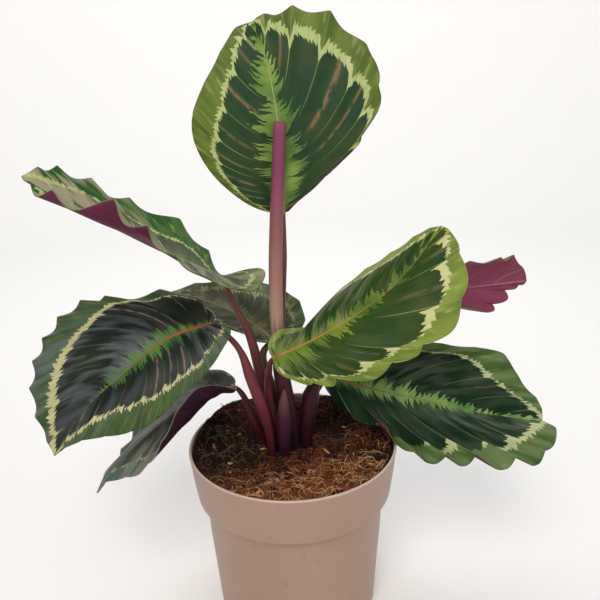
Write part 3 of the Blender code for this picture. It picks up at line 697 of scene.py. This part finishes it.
def stalk_skin(name, stops):
    """The skin of a stalk: smooth and firm, its colour changing with height, with fine grooves along it."""
    made, tree, shader = new_material(name, IOR=1.45, Specular_IOR_Level=0.3)
    place = node(tree, "UVMap", uv_map="UVMap").outputs[0]
    rise = node(tree, "SeparateXYZ", {0: place}).outputs["Y"]
    groove = node(tree, "VectorMath", {0: place, 1: (30.0, 6.0, 0.0)}, operation="MULTIPLY")
    lines = node(tree, "TexNoise", {"Vector": groove.outputs[0], "Scale": 1.0, "Detail": 3.0}).outputs[0]
    wander = node(tree, "MapRange", {"Value": lines, "To Min": -0.08, "To Max": 0.08})
    rise = node(tree, "Math", {0: rise, 1: wander.outputs[0]}, operation="ADD").outputs[0]
    shade = colour(stops[0][1])
    for (low, _), (high, code) in zip(stops, stops[1:]):
        part = node(tree, "MapRange", {"Value": rise, "From Min": low, "From Max": high})
        laid = {0: part.outputs[0], 6: shade, 7: colour(code)}
        shade = node(tree, "Mix", laid, data_type="RGBA").outputs[2]
    span = {"Value": lines, "From Min": 0.3, "From Max": 0.7, "To Min": 0.78, "To Max": 1.2}
    tone = node(tree, "MapRange", span)
    final = node(tree, "VectorMath", {0: shade, "Scale": tone.outputs[0]}, operation="SCALE")
    tree.links.new(final.outputs[0], shader.inputs["Base Color"])
    rough = node(tree, "MapRange", {"Value": lines, "To Min": 0.35, "To Max": 0.6})
    tree.links.new(rough.outputs[0], shader.inputs["Roughness"])
    bump = node(tree, "Bump", {"Height": lines, "Distance": 0.0003, "Strength": 0.6})
    tree.links.new(bump.outputs[0], shader.inputs["Normal"])
    return made


def merge_points(piece):
    bpy.ops.object.select_all(action="DESELECT")
    piece.select_set(True)
    bpy.context.view_layer.objects.active = piece
    bpy.ops.object.mode_set(mode="EDIT")
    bpy.ops.mesh.select_all(action="SELECT")
    bpy.ops.mesh.remove_doubles(threshold=0.00001)
    bpy.ops.object.mode_set(mode="OBJECT")


def blade_piece(leaf, upper, lower):
    """A grid laid on the blade's surface, drawn to a point at base and tip, and thickened downwards."""
    count = len(leaf["crests"][0])
    bpy.ops.object.select_all(action="DESELECT")
    rows = ROWS_PER_WAVE * count
    bpy.ops.mesh.primitive_grid_add(x_subdivisions=BLADE_COLUMNS, y_subdivisions=rows, size=2)
    blade = bpy.context.object
    square = places_of(blade.data)
    out = np.round(square[:, 0] * BLADE_COLUMNS / 2) / (BLADE_COLUMNS / 2)
    wave = 0.5 + count * (square[:, 1] + 1) / 2
    surface, share, width = blade_surface(leaf, wave, out)
    set_places(blade.data, surface)
    for name, values in blade_pattern(leaf, wave, out, share, width).items():
        blade.data.attributes.new(name, "FLOAT_VECTOR", "POINT").data.foreach_set("vector", values.ravel())
    thick = np.exp(-(np.abs(out) * width / 2.2)**2) * (1 - 0.6 * share)
    group = blade.vertex_groups.new(name="midrib")
    for n, weight in enumerate(thick):
        if weight > 0.01:
            group.add([n], float(weight), "REPLACE")
    merge_points(blade)
    blade.data.materials.append(upper)
    blade.data.materials.append(lower)
    shell = blade.modifiers.new("thickness", "SOLIDIFY")
    shell.thickness = BLADE_RIB * MM
    shell.offset = -1
    shell.use_quality_normals = True
    shell.vertex_group = group.name
    shell.thickness_vertex_group = BLADE_EDGE / BLADE_RIB
    shell.material_offset = 1
    bpy.ops.object.modifier_apply(modifier=shell.name)
    return blade


def stalk_piece(route, sheath, dome=0.0):
    """A grid rolled into a closed tube along the route, its lower part wrapped like the sheath of a leaf.

    With a dome, the top is a blunt cut whose middle stands so many mm above its edge.
    """
    x, y, _, radius = route[-1]
    full = (*route, (x, y, STALK_FOOT, radius - 0.4))
    points = np.array([p[:3] for p in full], float)
    radii = np.array([p[3] for p in full], float)
    knots = np.concatenate([[0], np.cumsum(np.linalg.norm(np.diff(points, axis=0), axis=1))])
    bpy.ops.object.select_all(action="DESELECT")
    bpy.ops.mesh.primitive_grid_add(x_subdivisions=STALK_SIDES, y_subdivisions=STALK_RINGS, size=2)
    stalk = bpy.context.object
    square = places_of(stalk.data)
    share = (1 - square[:, 1]) / 2
    around = (square[:, 0] + 1) / 2
    cap = np.clip(share * STALK_RINGS / CAP_RINGS, 0, 1)
    if dome:
        face = CAP_RINGS / STALK_RINGS
        share = np.clip((share - face) / (1 - face), 0, 1)
    centre, slope = spline(points, share)
    radius = np.interp(share, knots / knots[-1], radii)
    top = cap**0.7 if dome else np.sqrt(np.clip(share / 0.012, 0, 1))
    wrap = smoothstep(0.35, 0.7, share) * sheath
    spiral = 0.16 * (np.where(around < 0.97, around / 0.97, (1 - around) / 0.03) - 0.6)
    radius = radius * (1 + wrap * spiral) * top * np.sqrt(np.clip((1 - share) / 0.01, 0, 1))
    axis = unit(slope)
    centre = centre - axis * (dome * (1 - cap**2))[:, None]
    front = unit(np.cross(axis, (1, 0, 0)) + 1e-9)
    side = np.cross(axis, front)
    turn = around * math.tau + 0.9
    ring = front * (radius * np.cos(turn))[:, None] + side * (radius * np.sin(turn))[:, None]
    set_places(stalk.data, centre + ring)
    merge_points(stalk)
    bpy.ops.object.mode_set(mode="EDIT")
    bpy.ops.mesh.select_all(action="SELECT")
    bpy.ops.mesh.normals_make_consistent(inside=False)
    bpy.ops.object.mode_set(mode="OBJECT")
    return stalk


def leaf_route(leaf):
    """The stalk with its upper end laid under the first stretch of the midrib."""
    face, slope = spline(leaf["rib"], np.array([0.0, RIB_TOE]))
    near = np.array([0.9, 0.95])[:, None]
    strip = blade_surface(leaf, near, np.array([-0.1, 0.1])[None, :])[0]
    normal = unit(np.cross(strip[0, 1] - strip[0, 0], strip[1, 0] - strip[0, 0]))
    heel_radius, toe_radius = 1.5, 0.9
    heel = face[0] - normal * (heel_radius + 0.5)
    toe = face[1] - normal * (toe_radius + 0.5)
    return ((*toe, toe_radius), (*heel, heel_radius), *leaf["stalk"])


def leaf_piece(name, node_name, leaf):
    look = leaf["look"]
    blade = blade_piece(leaf, leaf_upper(name + "_upper", look), leaf_under(name + "_lower", *look["under"]))
    stalk = stalk_piece(leaf_route(leaf), 1.0)
    stalk.data.materials.append(stalk_skin(name + "_stalk", look["stalk"]))
    bpy.ops.object.select_all(action="DESELECT")
    stalk.select_set(True)
    blade.select_set(True)
    bpy.context.view_layer.objects.active = blade
    bpy.ops.object.join()
    shade_smooth(blade.data)
    blade.name = name
    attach(blade, "root")
    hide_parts(node_name)


# The grey of the painted sheen is a painted reflection, where a blade catches the light at a grazing angle.
GREENS = dict(
    dark="#1C3822", deep="#234224", olive="#394424", streak="#7D6848", feather="#567534", light="#829B4C",
    ring="#9BA767", pale="#B0B87E", margin="#4B5D26", fresh="#667730", straw="#94985A", rib="#8F8E58",
    rib_tip="#A5A767", rim="#5C5A3C", painted_sheen="#8A8570",
)
WINE = ("#46182F", "#64283F", "#84485A")
# What most leaves share. A pair is for the left and right half of the blade, as seen on its upper face.
# Each leaf adds lists that run from base to tip: ring, where the cream ring lies as a share of the half
# width; band, half the ring's width in mm; feather, how far the light centre reaches in mm. Where band or
# feather is below zero there is none.
LEAF_LOOK = dict(
    spike=(2.0, 2.0),  # how far the ring runs in along each side vein, in mm
    arc=(1.0, 1.0),  # how far it bows out between two side veins, in mm
    wedge=(0.0, 0.0),  # how far it breaks into wedges that widen from one side vein to the next
    barb=(2.2, 2.6, 5.0),  # barbs at the ring's inner and outer edge and round the centre, in mm
    barbs=8.0,  # barbs from one side vein to the next
    reach=0.35,  # where the brown streaks begin, as a share of the half width
    sparse=0.5,  # the larger, the fewer cells have a streak
    streak=0.4,  # how strongly streaks show
    line=0.4,  # how strongly the lines of the side veins show
    rib=1.2,  # half the midrib's width at the base, in mm
    rib_end=0.8,  # where along the leaf the midrib takes its tip's colour
    gloss=0.22,
    rough=0.42,
    painted_sheen=((0, 0), (0, 0)),  # a painted sheen of grey reflection, as lists from base to tip
    colours=GREENS,
    under=WINE,
    stalk=((0.1, "#2E0E18"), (0.5, "#5A2A2C"), (0.92, "#6E3E34")),  # from the foot up
)

leaf_piece("top_leaf", "leaf_top", dict(
    rib=((0, 14, 335), (0, 10, 369), (-3, 9, 410), (-10, 14, 448), (-18, 24, 471)),
    left=((-17, 12, 339), (-35, 6, 351), (-55, 0, 375), (-62, -4, 405), (-53, -2, 428), (-39, 8, 452),
          (-28, 18, 467)),
    right=((6, 12, 342), (21, 10, 353), (35, 7, 367), (49, 5, 379), (58, 4, 389), (66, 4, 403),
           (72, 6, 417), (72, 9, 429), (68, 12, 442), (59, 14, 453), (46, 17, 464), (28, 20, 474),
           (16, 22, 477), (-1, 23, 475), (-15, 23, 473)),
    crests=((0.05, 0.16, 0.32, 0.46, 0.57, 0.68, 0.81, 0.93),
            (0.084, 0.233, 0.379, 0.522, 0.633, 0.772, 0.886, 0.96)),
    height=((0, 1, 2, 1), (0, 1, 2, 3, 3, 3)), bow=((3, 3, 3), (0, 1.5, 4, 4, 3)),
    notch=((0.01, 0, -0.02), (0.12, 0.12, 0.11, 0.09, 0.01, -0.06, -0.07, -0.06)),
    stalk=((-2, 15, 303, 2.8), (-6, 16, 242, 3.4), (-5, 17, 189, 4.0), (-1, 15.5, 140, 4.0)),
    look=dict(
        LEAF_LOOK, seed=3, ring=((0.66, 0.76, 0.78, 0.79, 0.82, 0.88), (1.2, 1.04, 0.88, 0.87, 0.86, 0.86)),
        band=((1.0, 1.5, 1.9, 2.0, 1.7, 1.3), (1.0, 1.5, 2.3, 2.7, 2.7, 1.8)),
        feather=((4, 14, 23, 24, 19, 10, 4, 1), (4, 14, 24, 27, 21, 11, 4, 1)),
        spike=(2.5, 6.0), arc=(0.8, 3.0), barb=(1.7, 2.0, 12.0), reach=0.3, sparse=0.1, streak=1.0, line=0.6,
        rib_end=0.7, gloss=0.15, rough=0.45, stalk=((0.1, "#2E0E18"), (0.5, "#5E2C34"), (0.92, "#7A4A40")),
    ),
))

leaf_piece("upper_left_leaf", "leaf_upper_left", dict(
    rib=((-50, 8, 290), (-85, 2, 310), (-122, -2, 332), (-154, -2, 351), (-186, 0, 372)),
    left=((-16, -11, 296), (-19, -18, 291), (-24, -23, 288), (-34, -29, 290), (-47, -35, 297),
          (-64, -42, 309), (-76, -44, 319), (-91, -42, 334), (-107, -40, 348), (-123, -38, 356),
          (-141, -34, 356), (-155, -28, 359), (-170, -18, 363)),
    right=((-24, 18, 284), (-42, 32, 280), (-60, 46, 290), (-68, 48, 303), (-81, 50, 319), (-97, 50, 331),
           (-116, 49, 338), (-144, 38, 357), (-167, 24, 372), (-179, 10, 375)),
    crests=((0.13, 0.253, 0.363, 0.464, 0.565, 0.67, 0.854, 0.954),
            (0.101, 0.202, 0.342, 0.48, 0.65, 0.777, 0.884, 0.947)),
    height=((0, 0, 0, 1, 3, 8, 8, 6, 4), (1, 4, 5, 4)), bow=((-2, -2, -1), (-1, -3, -2)),
    notch=((0, 0), (0, -0.02)),
    stalk=((-43, 4, 273, 2.1), (-33, 3, 249, 3.2), (-26, 5, 218, 4.2), (-21, 8, 183, 4.4),
           (-14, 10, 140, 3.8)),
    look=dict(
        LEAF_LOOK, seed=4, ring=((0.7, 0.76, 0.76, 0.76, 0.78, 0.8), (0.5, 0.5, 0.5, 0.55, 0.65, 0.75)),
        band=((1.0, 1.6, 1.9, 1.9, 1.6, 1.2), (1.2, 1.8, 2.2, 2.0, 1.6, 1.2)),
        feather=((2, 6, 8, 8, 6, 2), (2, 6, 8, 8, 6, 2)),
        barb=(2.0, 2.6, 3.0), barbs=9.0, rib=0.9, gloss=0.1, rough=0.5,
        painted_sheen=((1.0, 0.95, 0.8, 0.9, 1.4, 2.4), (0.8, 0.1, 0.0, 0.2, 1.2, 2.4)),
        # Its dark cells are painted grey-green: a painted sheen where the blade is seen edge-on.
        colours=dict(GREENS, dark="#46523A", deep="#525A42", margin="#274D1F", fresh="#396526",
                     painted_sheen="#91896E"),
        under=("#4E1A34", "#6E2C48", "#8A5064"),
    ),
))

leaf_piece("left_leaf", "leaf_left", dict(
    rib=((-59, -5, 256), (-92, -14, 249), (-120, -26, 231), (-145, -40, 213), (-172, -60, 180)),
    left=((-44, -12, 254), (-50, -24, 242), (-63, -34, 227), (-81, -42, 214), (-101, -52, 199),
          (-129, -58, 193), (-154, -60, 190)),
    right=((-56, 4, 257), (-67, 18, 266), (-99, 30, 272), (-131, 30, 268), (-163, 24, 267), (-186, 12, 250),
           (-197, -6, 227), (-192, -30, 202), (-179, -50, 187)),
    crests=((0.09, 0.18, 0.28, 0.38, 0.48, 0.58, 0.68, 0.78, 0.87, 0.95),
            (0.11, 0.25, 0.41, 0.48, 0.56, 0.63, 0.70, 0.78, 0.87, 0.955)),
    height=((0, 1, 2, 1), (1, 4, 3, 2)), bow=((3, 4, 3), (2, 4, 3)),
    notch=((0, 0), (-0.02, -0.03)),
    stalk=((-49, -2, 246, 2.2), (-39, -3, 233, 2.5), (-32, -8, 214, 4.4), (-25, -12, 193, 4.9),
           (-17, -8, 140, 3.4)),
    look=dict(
        LEAF_LOOK, seed=5, ring=((0.7, 0.72, 0.74, 0.70, 0.72, 0.8), (0.84, 0.82, 0.76, 0.76, 0.84, 0.86)),
        band=((0.0, 0.3, 1.4, 1.8, 1.4, 1.0), (0.4, 0.6, 2.4, 3.4, 3.0, 1.8)),
        feather=((0, 5, 11, 13, 9, 0, -8, -8, -8), (0, 5, 14, 19, 17, 3, -8, -8, -8)),
        spike=(1.5, 2.5), arc=(1.0, 1.2), wedge=(0.2, 0.1), barb=(2.0, 2.2, 8.0), reach=0.08, sparse=1.8,
        streak=0.9, line=0.25, rib=1.7, rib_end=0.82, gloss=0.2, rough=0.4,
        painted_sheen=((1.0, 0.6, 0.2, 0.0, 0.0, 0.2, 0.2), (0.3, 0.1, 0.0, 0.0, 0.3, 0.8, 0.6, 0.1)),
        colours=dict(GREENS, dark="#08130E", deep="#12241A", olive="#2A2E1E", streak="#82695C",
                     feather="#3B6426", light="#5C8034", painted_sheen="#5E6266", ring="#A8A472", pale="#BAB688",
                     margin="#2F4726", fresh="#445A2C", straw="#726A44", rib="#955438", rib_tip="#847A4C",
                     rim="#565A40"),
        stalk=((0.1, "#3A101C"), (0.5, "#642630"), (0.92, "#74403A")),
    ),
))

leaf_piece("lower_left_leaf", "leaf_lower_left", dict(
    rib=((-44, -8, 205), (-61, -13, 205), (-90, -24, 192), (-121, -34, 170), (-153, -40, 134)),
    left=((-43, -16, 206), (-59, -30, 217), (-76, -40, 213), (-89, -48, 195), (-102, -54, 173),
          (-122, -52, 154), (-141, -46, 147)),
    right=((-44, 0, 206), (-53, 10, 209), (-74, 18, 207), (-106, 22, 183), (-130, 10, 159),
           (-144, -20, 144), (-151, -34, 138)),
    crests=((0.12, 0.26, 0.40, 0.54, 0.67, 0.80, 0.92), (0.12, 0.28, 0.42, 0.55, 0.67, 0.78, 0.90)),
    height=((0, 1, 2, 1), (0, 2, 3, 2)), bow=((-2, -7, -6, 2, 2), (2, 3, 2)),
    notch=((0.02, 0.03), (0, -0.03)),
    stalk=((-40, -6, 198, 2.2), (-36, -4, 188, 2.6), (-31, -3, 171, 3.6), (-20, 3, 140, 3.2)),
    look=dict(
        LEAF_LOOK, seed=6, ring=((0.75, 0.75, 0.76, 0.76, 0.76, 0.8), (0.75, 0.75, 0.76, 0.76, 0.76, 0.8)),
        band=((0.3, 0.5, 0.8, 0.9, 0.8, 0.8), (0.3, 0.5, 0.8, 1.2, 1.2, 0.8)),
        feather=((0, 4, 5, 3, 1), (0, 4, 5, 3, 1)),
        spike=(1.0, 1.0), arc=(0.5, 0.5), wedge=(0.3, 0.3), barb=(1.6, 2.0, 2.0), reach=0.2, line=0.35,
        rib=1.3, gloss=0.25, painted_sheen=((0.0, 0.1, 0.6, 0.7, 0.5, 0.3), (0, 0.3, 0.6, 0.7, 0.5, 0.3)),
        colours=dict(GREENS, dark="#2C443C", deep="#38493C", olive="#43493A", feather="#4A5A40",
                     light="#5E6A4C", ring="#83846A", pale="#8E8E74", margin="#35524A", fresh="#456058",
                     rib="#8A7258", rib_tip="#A3917A", painted_sheen="#857C6E", rim="#8A7C6C"),
        under=("#1F0613", "#2C0B1D", "#48203A"),
        stalk=((0.1, "#240A12"), (0.5, "#40141E"), (0.92, "#4A1C28")),
    ),
))

leaf_piece("right_front_leaf", "leaf_right_front", dict(
    rib=((-13, -26, 235), (15, -26, 247), (45, -24, 263), (79, -18, 286), (114, -8, 327)),
    left=((-16, -24, 243), (-10, -18, 252), (13, -4, 250), (40, 8, 273), (66, 12, 293), (91, 10, 310),
          (106, 0, 323)),
    right=((-10, -34, 228), (7, -40, 220), (23, -44, 218), (39, -47, 221), (56, -49, 224), (71, -50, 231),
           (86, -50, 240), (101, -49, 249), (114, -48, 258), (123, -44, 272), (128, -38, 287),
           (127, -30, 305), (123, -22, 318), (118, -14, 326)),
    crests=((0.10, 0.24, 0.38, 0.50, 0.62, 0.74, 0.86, 0.95),
            (0.10, 0.185, 0.267, 0.452, 0.557, 0.74, 0.88, 0.955)),
    height=((0, 1, 1, 1), (0, 2, 6, 5, 4, 2, 2, 1)), bow=((2, 3, 2), (3, 5, 3)),
    notch=((0, 0), (0.04, 0.1, 0.18, 0.1, 0.08, 0.05, 0.03, 0.02)),
    stalk=((-16, -16, 222, 2.4), (-18, -5, 204, 3.2), (-16, -2, 178, 4.0), (-10, 0, 140, 3.4)),
    look=dict(
        LEAF_LOOK, seed=7, ring=((0.8, 0.8, 0.8, 0.8, 0.8, 0.8), (0.8, 0.78, 0.80, 0.80, 0.82, 0.86)),
        band=((-3.0, -1.5, 1.0, 1.4, 1.6, 1.2), (-1.0, 0.9, 2.6, 3.6, 3.4, 1.8)),
        feather=((16, 12, 14, 14, 13, 9, 5, 2), (22, 13, 16, 18, 16, 11, 5, 2)),
        spike=(0.5, 0.0), arc=(0.5, 0.5), wedge=(0.2, 0.92), barb=(2.4, 2.2, 11.0), barbs=7.0, reach=0.4,
        sparse=0.8, streak=0.5, line=0.45, rib_end=0.9, gloss=0.12,
        painted_sheen=((0.3, 0.5, 0.5, 0.4, 0.1, 0.0), (0.1, 0.0)),
        colours=dict(GREENS, dark="#17360E", deep="#244413", olive="#3A4719", feather="#4A6220",
                     light="#70832E", ring="#B5B578", pale="#C2C08C", margin="#60742E", fresh="#808F3C",
                     straw="#B4AC62", rib="#AC763C", rib_tip="#9A9A50", rim="#A9A76E"),
        stalk=((0.1, "#2E0E18"), (0.5, "#4E1E28"), (0.92, "#5E3030"), (0.97, "#AC763C")),
    ),
))

leaf_piece("right_low_leaf", "leaf_right_low", dict(
    rib=((23, 12, 203), (64, 6, 191), (111, -6, 183), (157, -18, 176), (195, -28, 174)),
    left=((27, 22, 209), (60, 36, 217), (112, 42, 216), (155, 38, 210), (181, 30, 206), (192, 14, 188),
          (200, 0, 179), (199, -16, 177)),
    right=((32, 2, 187), (43, -8, 178), (53, -13, 172), (66, -17, 170), (78, -24, 163), (88, -30, 154),
           (98, -34, 149), (110, -38, 146), (120, -42, 150), (131, -44, 147), (143, -45, 152),
           (155, -46, 145), (168, -46, 145), (175, -46, 150), (184, -46, 146), (196, -43, 152),
           (203, -38, 163), (204, -33, 170), (200, -30, 172)),
    crests=((0.12, 0.25, 0.37, 0.49, 0.60, 0.70, 0.79, 0.88, 0.95),
            (0.084, 0.17, 0.295, 0.425, 0.528, 0.627, 0.77, 0.87, 0.955)),
    height=((0, 1, 1, 1), (3, 5, 7, 6, 3, 3, 3)), bow=((3, 3, 2), (2, 3, 2)),
    notch=((0, 0), (0, 0, 0.02, 0.04, 0.05, 0.06, 0.06, 0.02)),
    stalk=((19, 10, 194, 5.0), (16, 8.5, 184, 7.4), (13.5, 7.6, 171, 7.6), (11, 5, 140, 4.8)),
    look=dict(
        LEAF_LOOK, seed=8, ring=((0.7, 0.72, 0.74, 0.76, 0.82, 0.88), (1.35, 1.15, 0.84, 0.85, 0.79, 0.74)),
        band=((0.8, 1.3, 1.7, 1.9, 1.7, 1.2),
              (-3, -3, -3, -3, -3, -3, -4, 1.2, 4.0, -4, 0.3, 4.4, 2.4, 2.2)),
        feather=((4, 10, 15, 17, 12, 5, 4, 2), (4, 10, 15, 15, 9, 4, 3, 2)),
        spike=(1.0, 0.0), arc=(0.5, 0.5), wedge=(0.2, 0.45), barb=(2.0, 2.4, 11.0), reach=0.4, sparse=1.0,
        streak=0.3, line=0.35, rib=1.8, rib_end=0.92, gloss=0.1,
        painted_sheen=((0, 0, 0, 0.1, 0.25, 0.1, 0), (0, 0, 0.1, 0.4)),
        colours=dict(GREENS, dark="#0B2413", deep="#103016", olive="#202E1A", feather="#4A7434",
                     light="#7FA054", ring="#A0A873", pale="#B2B688", margin="#3C5428", fresh="#5E7440",
                     straw="#7C8A54", rib="#8A4A35", rib_tip="#8C8650", rim="#4A5A3A", painted_sheen="#7C8470"),
        stalk=((0.1, "#1C0810"), (0.5, "#300E1A"), (0.92, "#46181E")),
    ),
))

leaf_piece("right_back_leaf", "leaf_right_back", dict(
    rib=((72, 48, 251), (105, 56, 255), (141, 62, 256), (178, 66, 257), (210, 68, 259)),
    left=((80, 58, 232), (117, 63, 230), (159, 60, 238), (176, 63, 232), (185, 66, 234), (192, 68, 240),
          (197, 69, 246), (202, 70, 252), (208, 70, 254)),
    right=((74, 40, 267), (110, 41, 278), (150, 44, 282), (164, 44, 284), (180, 46, 284), (191, 54, 284),
           (200, 60, 276), (208, 66, 266)),
    crests=((0.20, 0.38, 0.55, 0.70, 0.80, 0.90, 0.96), (0.12, 0.28, 0.42, 0.56, 0.70, 0.80, 0.92)),
    height=((0, 2, 3, 3), (0, 2, 3, 1)), bow=((1, 2, 1), (1, 2, 1)),
    notch=((0.02, 0.03, 0.05, 0.1, 0.16), (0, 0, -0.02, -0.06, 0)),
    stalk=((55, 50, 233, 2.6), (35, 41, 197, 3.6), (14, 24, 168, 4.2), (9, 16, 140, 3.9)),
    look=dict(
        LEAF_LOOK, seed=9, ring=((0.75, 0.76, 0.76, 0.8), (0.75, 0.76, 0.76, 0.8)),
        band=((1.0, 1.8, 1.8, 1.2), (1.0, 1.8, 1.8, 1.2)),
        feather=((2, 8, 10, 8, 2), (2, 8, 10, 8, 2)), rib=0.9, under=("#6C2A44", "#8A4459", "#A87284"),
    ),
))

leaf_piece("back_leaf", "leaf_back", dict(
    rib=((-14, 34, 227), (-32, 38, 241), (-53, 46, 251), (-76, 56, 257), (-100, 66, 261)),
    left=((1, 30, 228), (-17, 22, 228), (-37, 17, 239), (-60, 26, 246), (-82, 44, 255)),
    right=((9, 36, 231), (13, 44, 245), (-1, 54, 261), (-32, 64, 269), (-62, 70, 268), (-88, 72, 263)),
    crests=((0.10, 0.25, 0.40, 0.54, 0.68, 0.81, 0.92), (0.10, 0.20, 0.30, 0.42, 0.56, 0.72, 0.87)),
    height=((0, 1, 1, 1), (1, 2, 2, 1)), bow=((-2, -2, -1), (-2, -3, -1)),
    notch=((0, 0), (-0.03, -0.02)),
    stalk=((-21, 27, 219, 3.0), (-20, 22, 202, 4.0), (-12, 20, 165, 4.2), (-11, 19, 140, 3.8)),
    look=dict(
        LEAF_LOOK, seed=10, ring=((0.7, 0.74, 0.76, 0.8), (0.7, 0.74, 0.76, 0.8)),
        band=((1.0, 1.4, 1.6, 1.2), (1.0, 1.6, 1.8, 1.4)),
        feather=((4, 9, 11, 8, 2), (4, 9, 11, 8, 2)),
        arc=(0.5, 0.5), wedge=(0.2, 0.2), reach=0.3, streak=0.5, gloss=0.25,
        painted_sheen=((0.6, 0.8, 0.8, 0.6), (0.0, 0.2, 0.5, 0.4)),
        colours=dict(GREENS, dark="#353D2C", deep="#3E4430", feather="#5E6640", light="#737A4E",
                     ring="#83845A", pale="#8E8E68", margin="#33502A", fresh="#46602F", rib="#8E7A5A",
                     painted_sheen="#6E6450"),
        stalk=((0.1, "#2E0E18"), (0.5, "#4E2E2A"), (0.92, "#5E543C")),
    ),
))


# The cut stalk: a stout leaf stalk whose blade was cut off, so it ends bluntly in a pale, slightly domed
# face. It is vivid magenta at the top, pink brown lower down and dark at the sheath round its foot.
CUT_STALK = ((-1, 0, 403, 4.4), (-5, 0, 349, 4.9), (-8, 0, 303, 5.2), (-9, 0, 247, 5.2), (-7, 2, 207, 6.6),
             (-3, 3.5, 178, 7.0), (1, 4, 140, 4.8))

cut_stalk = stalk_piece(CUT_STALK, 0.6, dome=1.2)
cut_stalk.name = "blunt_stalk"
cut_stalk.data.materials.append(stalk_skin("magenta_stalk", (
    (0.12, "#26101A"), (0.36, "#4A1E2A"), (0.47, "#A0826C"), (0.58, "#97685F"), (0.74, "#854E54"),
    (0.84, "#7A3A55"), (0.93, "#7A3A54"), (0.985, "#7C4658"), (0.995, "#B09084"))))
shade_smooth(cut_stalk.data)
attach(cut_stalk, "root")
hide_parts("cut_stalk")


# The young leaf: still rolled lengthwise into a spear, plum coloured with a paler tip.
YOUNG_LEAF = ((-5, -9, 201, 0.8), (-6, -10, 190, 3.8), (-6.5, -10.5, 172, 6.0), (-7, -10.5, 155, 6.0),
              (-7.5, -10, 140, 4.8))

young_leaf = stalk_piece(YOUNG_LEAF, 1.2)
young_leaf.name = "rolled_leaf"
young_leaf.data.materials.append(stalk_skin("plum_leaf", (
    (0.2, "#220A1A"), (0.7, "#3A1228"), (0.97, "#6A4038"))))
shade_smooth(young_leaf.data)
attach(young_leaf, "root")
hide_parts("young_leaf")


# The studio: a pale floor that sweeps up into a wall all round, so that no edge shows from any side.
FLOOR_RADIUS = 1.5  # in m, as are the floor's other lengths and the places and sizes of the lights
BEND = 0.9
BEND_STEPS = 12
BEND_ANGLE = 30.0  # in degrees: the sweep is shaded smooth where its faces meet below this
WALL_HEIGHT = 0.4


def studio_sweep():
    bpy.ops.object.select_all(action="DESELECT")
    bpy.ops.mesh.primitive_circle_add(vertices=96, radius=FLOOR_RADIUS, fill_type="NGON")
    sweep = bpy.context.object
    sweep.name = "studio_floor"
    bpy.ops.object.mode_set(mode="EDIT")
    radius, height = FLOOR_RADIUS, 0.0
    for n in range(1, BEND_STEPS + 1):
        turn = n * math.pi / (2 * BEND_STEPS)
        next_radius, next_height = FLOOR_RADIUS + BEND * math.sin(turn), BEND * (1 - math.cos(turn))
        bpy.ops.mesh.select_mode(type="EDGE")
        bpy.ops.mesh.select_all(action="DESELECT")
        bpy.ops.mesh.select_non_manifold()
        bpy.ops.mesh.extrude_edges_move(TRANSFORM_OT_translate={"value": (0, 0, next_height - height)})
        share = next_radius / radius
        bpy.ops.transform.resize(value=(share, share, 1), center_override=(0, 0, next_height))
        radius, height = next_radius, next_height
    bpy.ops.mesh.extrude_edges_move(TRANSFORM_OT_translate={"value": (0, 0, WALL_HEIGHT)})
    bpy.ops.object.mode_set(mode="OBJECT")
    bpy.ops.object.shade_smooth_by_angle(angle=math.radians(BEND_ANGLE))
    made, tree, shader = new_material("matt_white_paint", Roughness=0.85)
    shader.inputs["Base Color"].default_value = colour("#F6F4F1")
    sweep.data.materials.append(made)


def area_light(name, place, target, size, power, tone):
    lamp = bpy.data.lights.new(name, "AREA")
    lamp.shape = "DISK"
    lamp.size = size
    lamp.energy = power
    lamp.color = colour(tone)[:3]
    made = bpy.data.objects.new(name, lamp)
    bpy.context.collection.objects.link(made)
    made.location = place
    made.rotation_euler = (Vector(target) - Vector(place)).to_track_quat("-Z", "Y").to_euler()


studio_sweep()
area_light("window_light", (-0.25, -1.25, 1.5), (0, 0, 0.25), 0.9, 17.0, "#FFFAF5")
area_light("fill_light", (1.2, -0.9, 0.9), (0, 0, 0.25), 1.0, 3.0, "#EEF3FF")
area_light("wall_light", (0, 0.6, 1.7), (0, 2.2, 0.4), 1.2, 15.0, "#FDFDFF")
world = bpy.data.worlds.new("soft_daylight")
world.use_nodes = True
world.node_tree.nodes["Background"].inputs["Color"].default_value = colour("#F6F9FC")
world.node_tree.nodes["Background"].inputs["Strength"].default_value = 0.55
bpy.context.scene.world = world
bpy.context.scene.view_settings.view_transform = "Standard"

# The camera stands where the photo's did, 473 mm in front of the pot's axis, and looks down by 18.5 degrees.
CAMERA_DISTANCE = 5.565 * RIM_RADIUS  # in mm, as is its height
CAMERA_HEIGHT = POT_HEIGHT + 3.286 * RIM_RADIUS
camera = bpy.data.objects.new("camera", bpy.data.cameras.new("camera"))
bpy.context.collection.objects.link(camera)
camera.data.lens = 39
camera.data.sensor_width = 36
camera.matrix_world = (
    Matrix.Translation((0, -CAMERA_DISTANCE * MM, CAMERA_HEIGHT * MM))
    @ Matrix.Rotation(math.radians(-1.15), 4, "Z")
    @ Matrix.Rotation(math.radians(90 - 18.5), 4, "X")
    @ Matrix.Rotation(math.radians(-1.75), 4, "Z")
)
bpy.context.scene.camera = camera
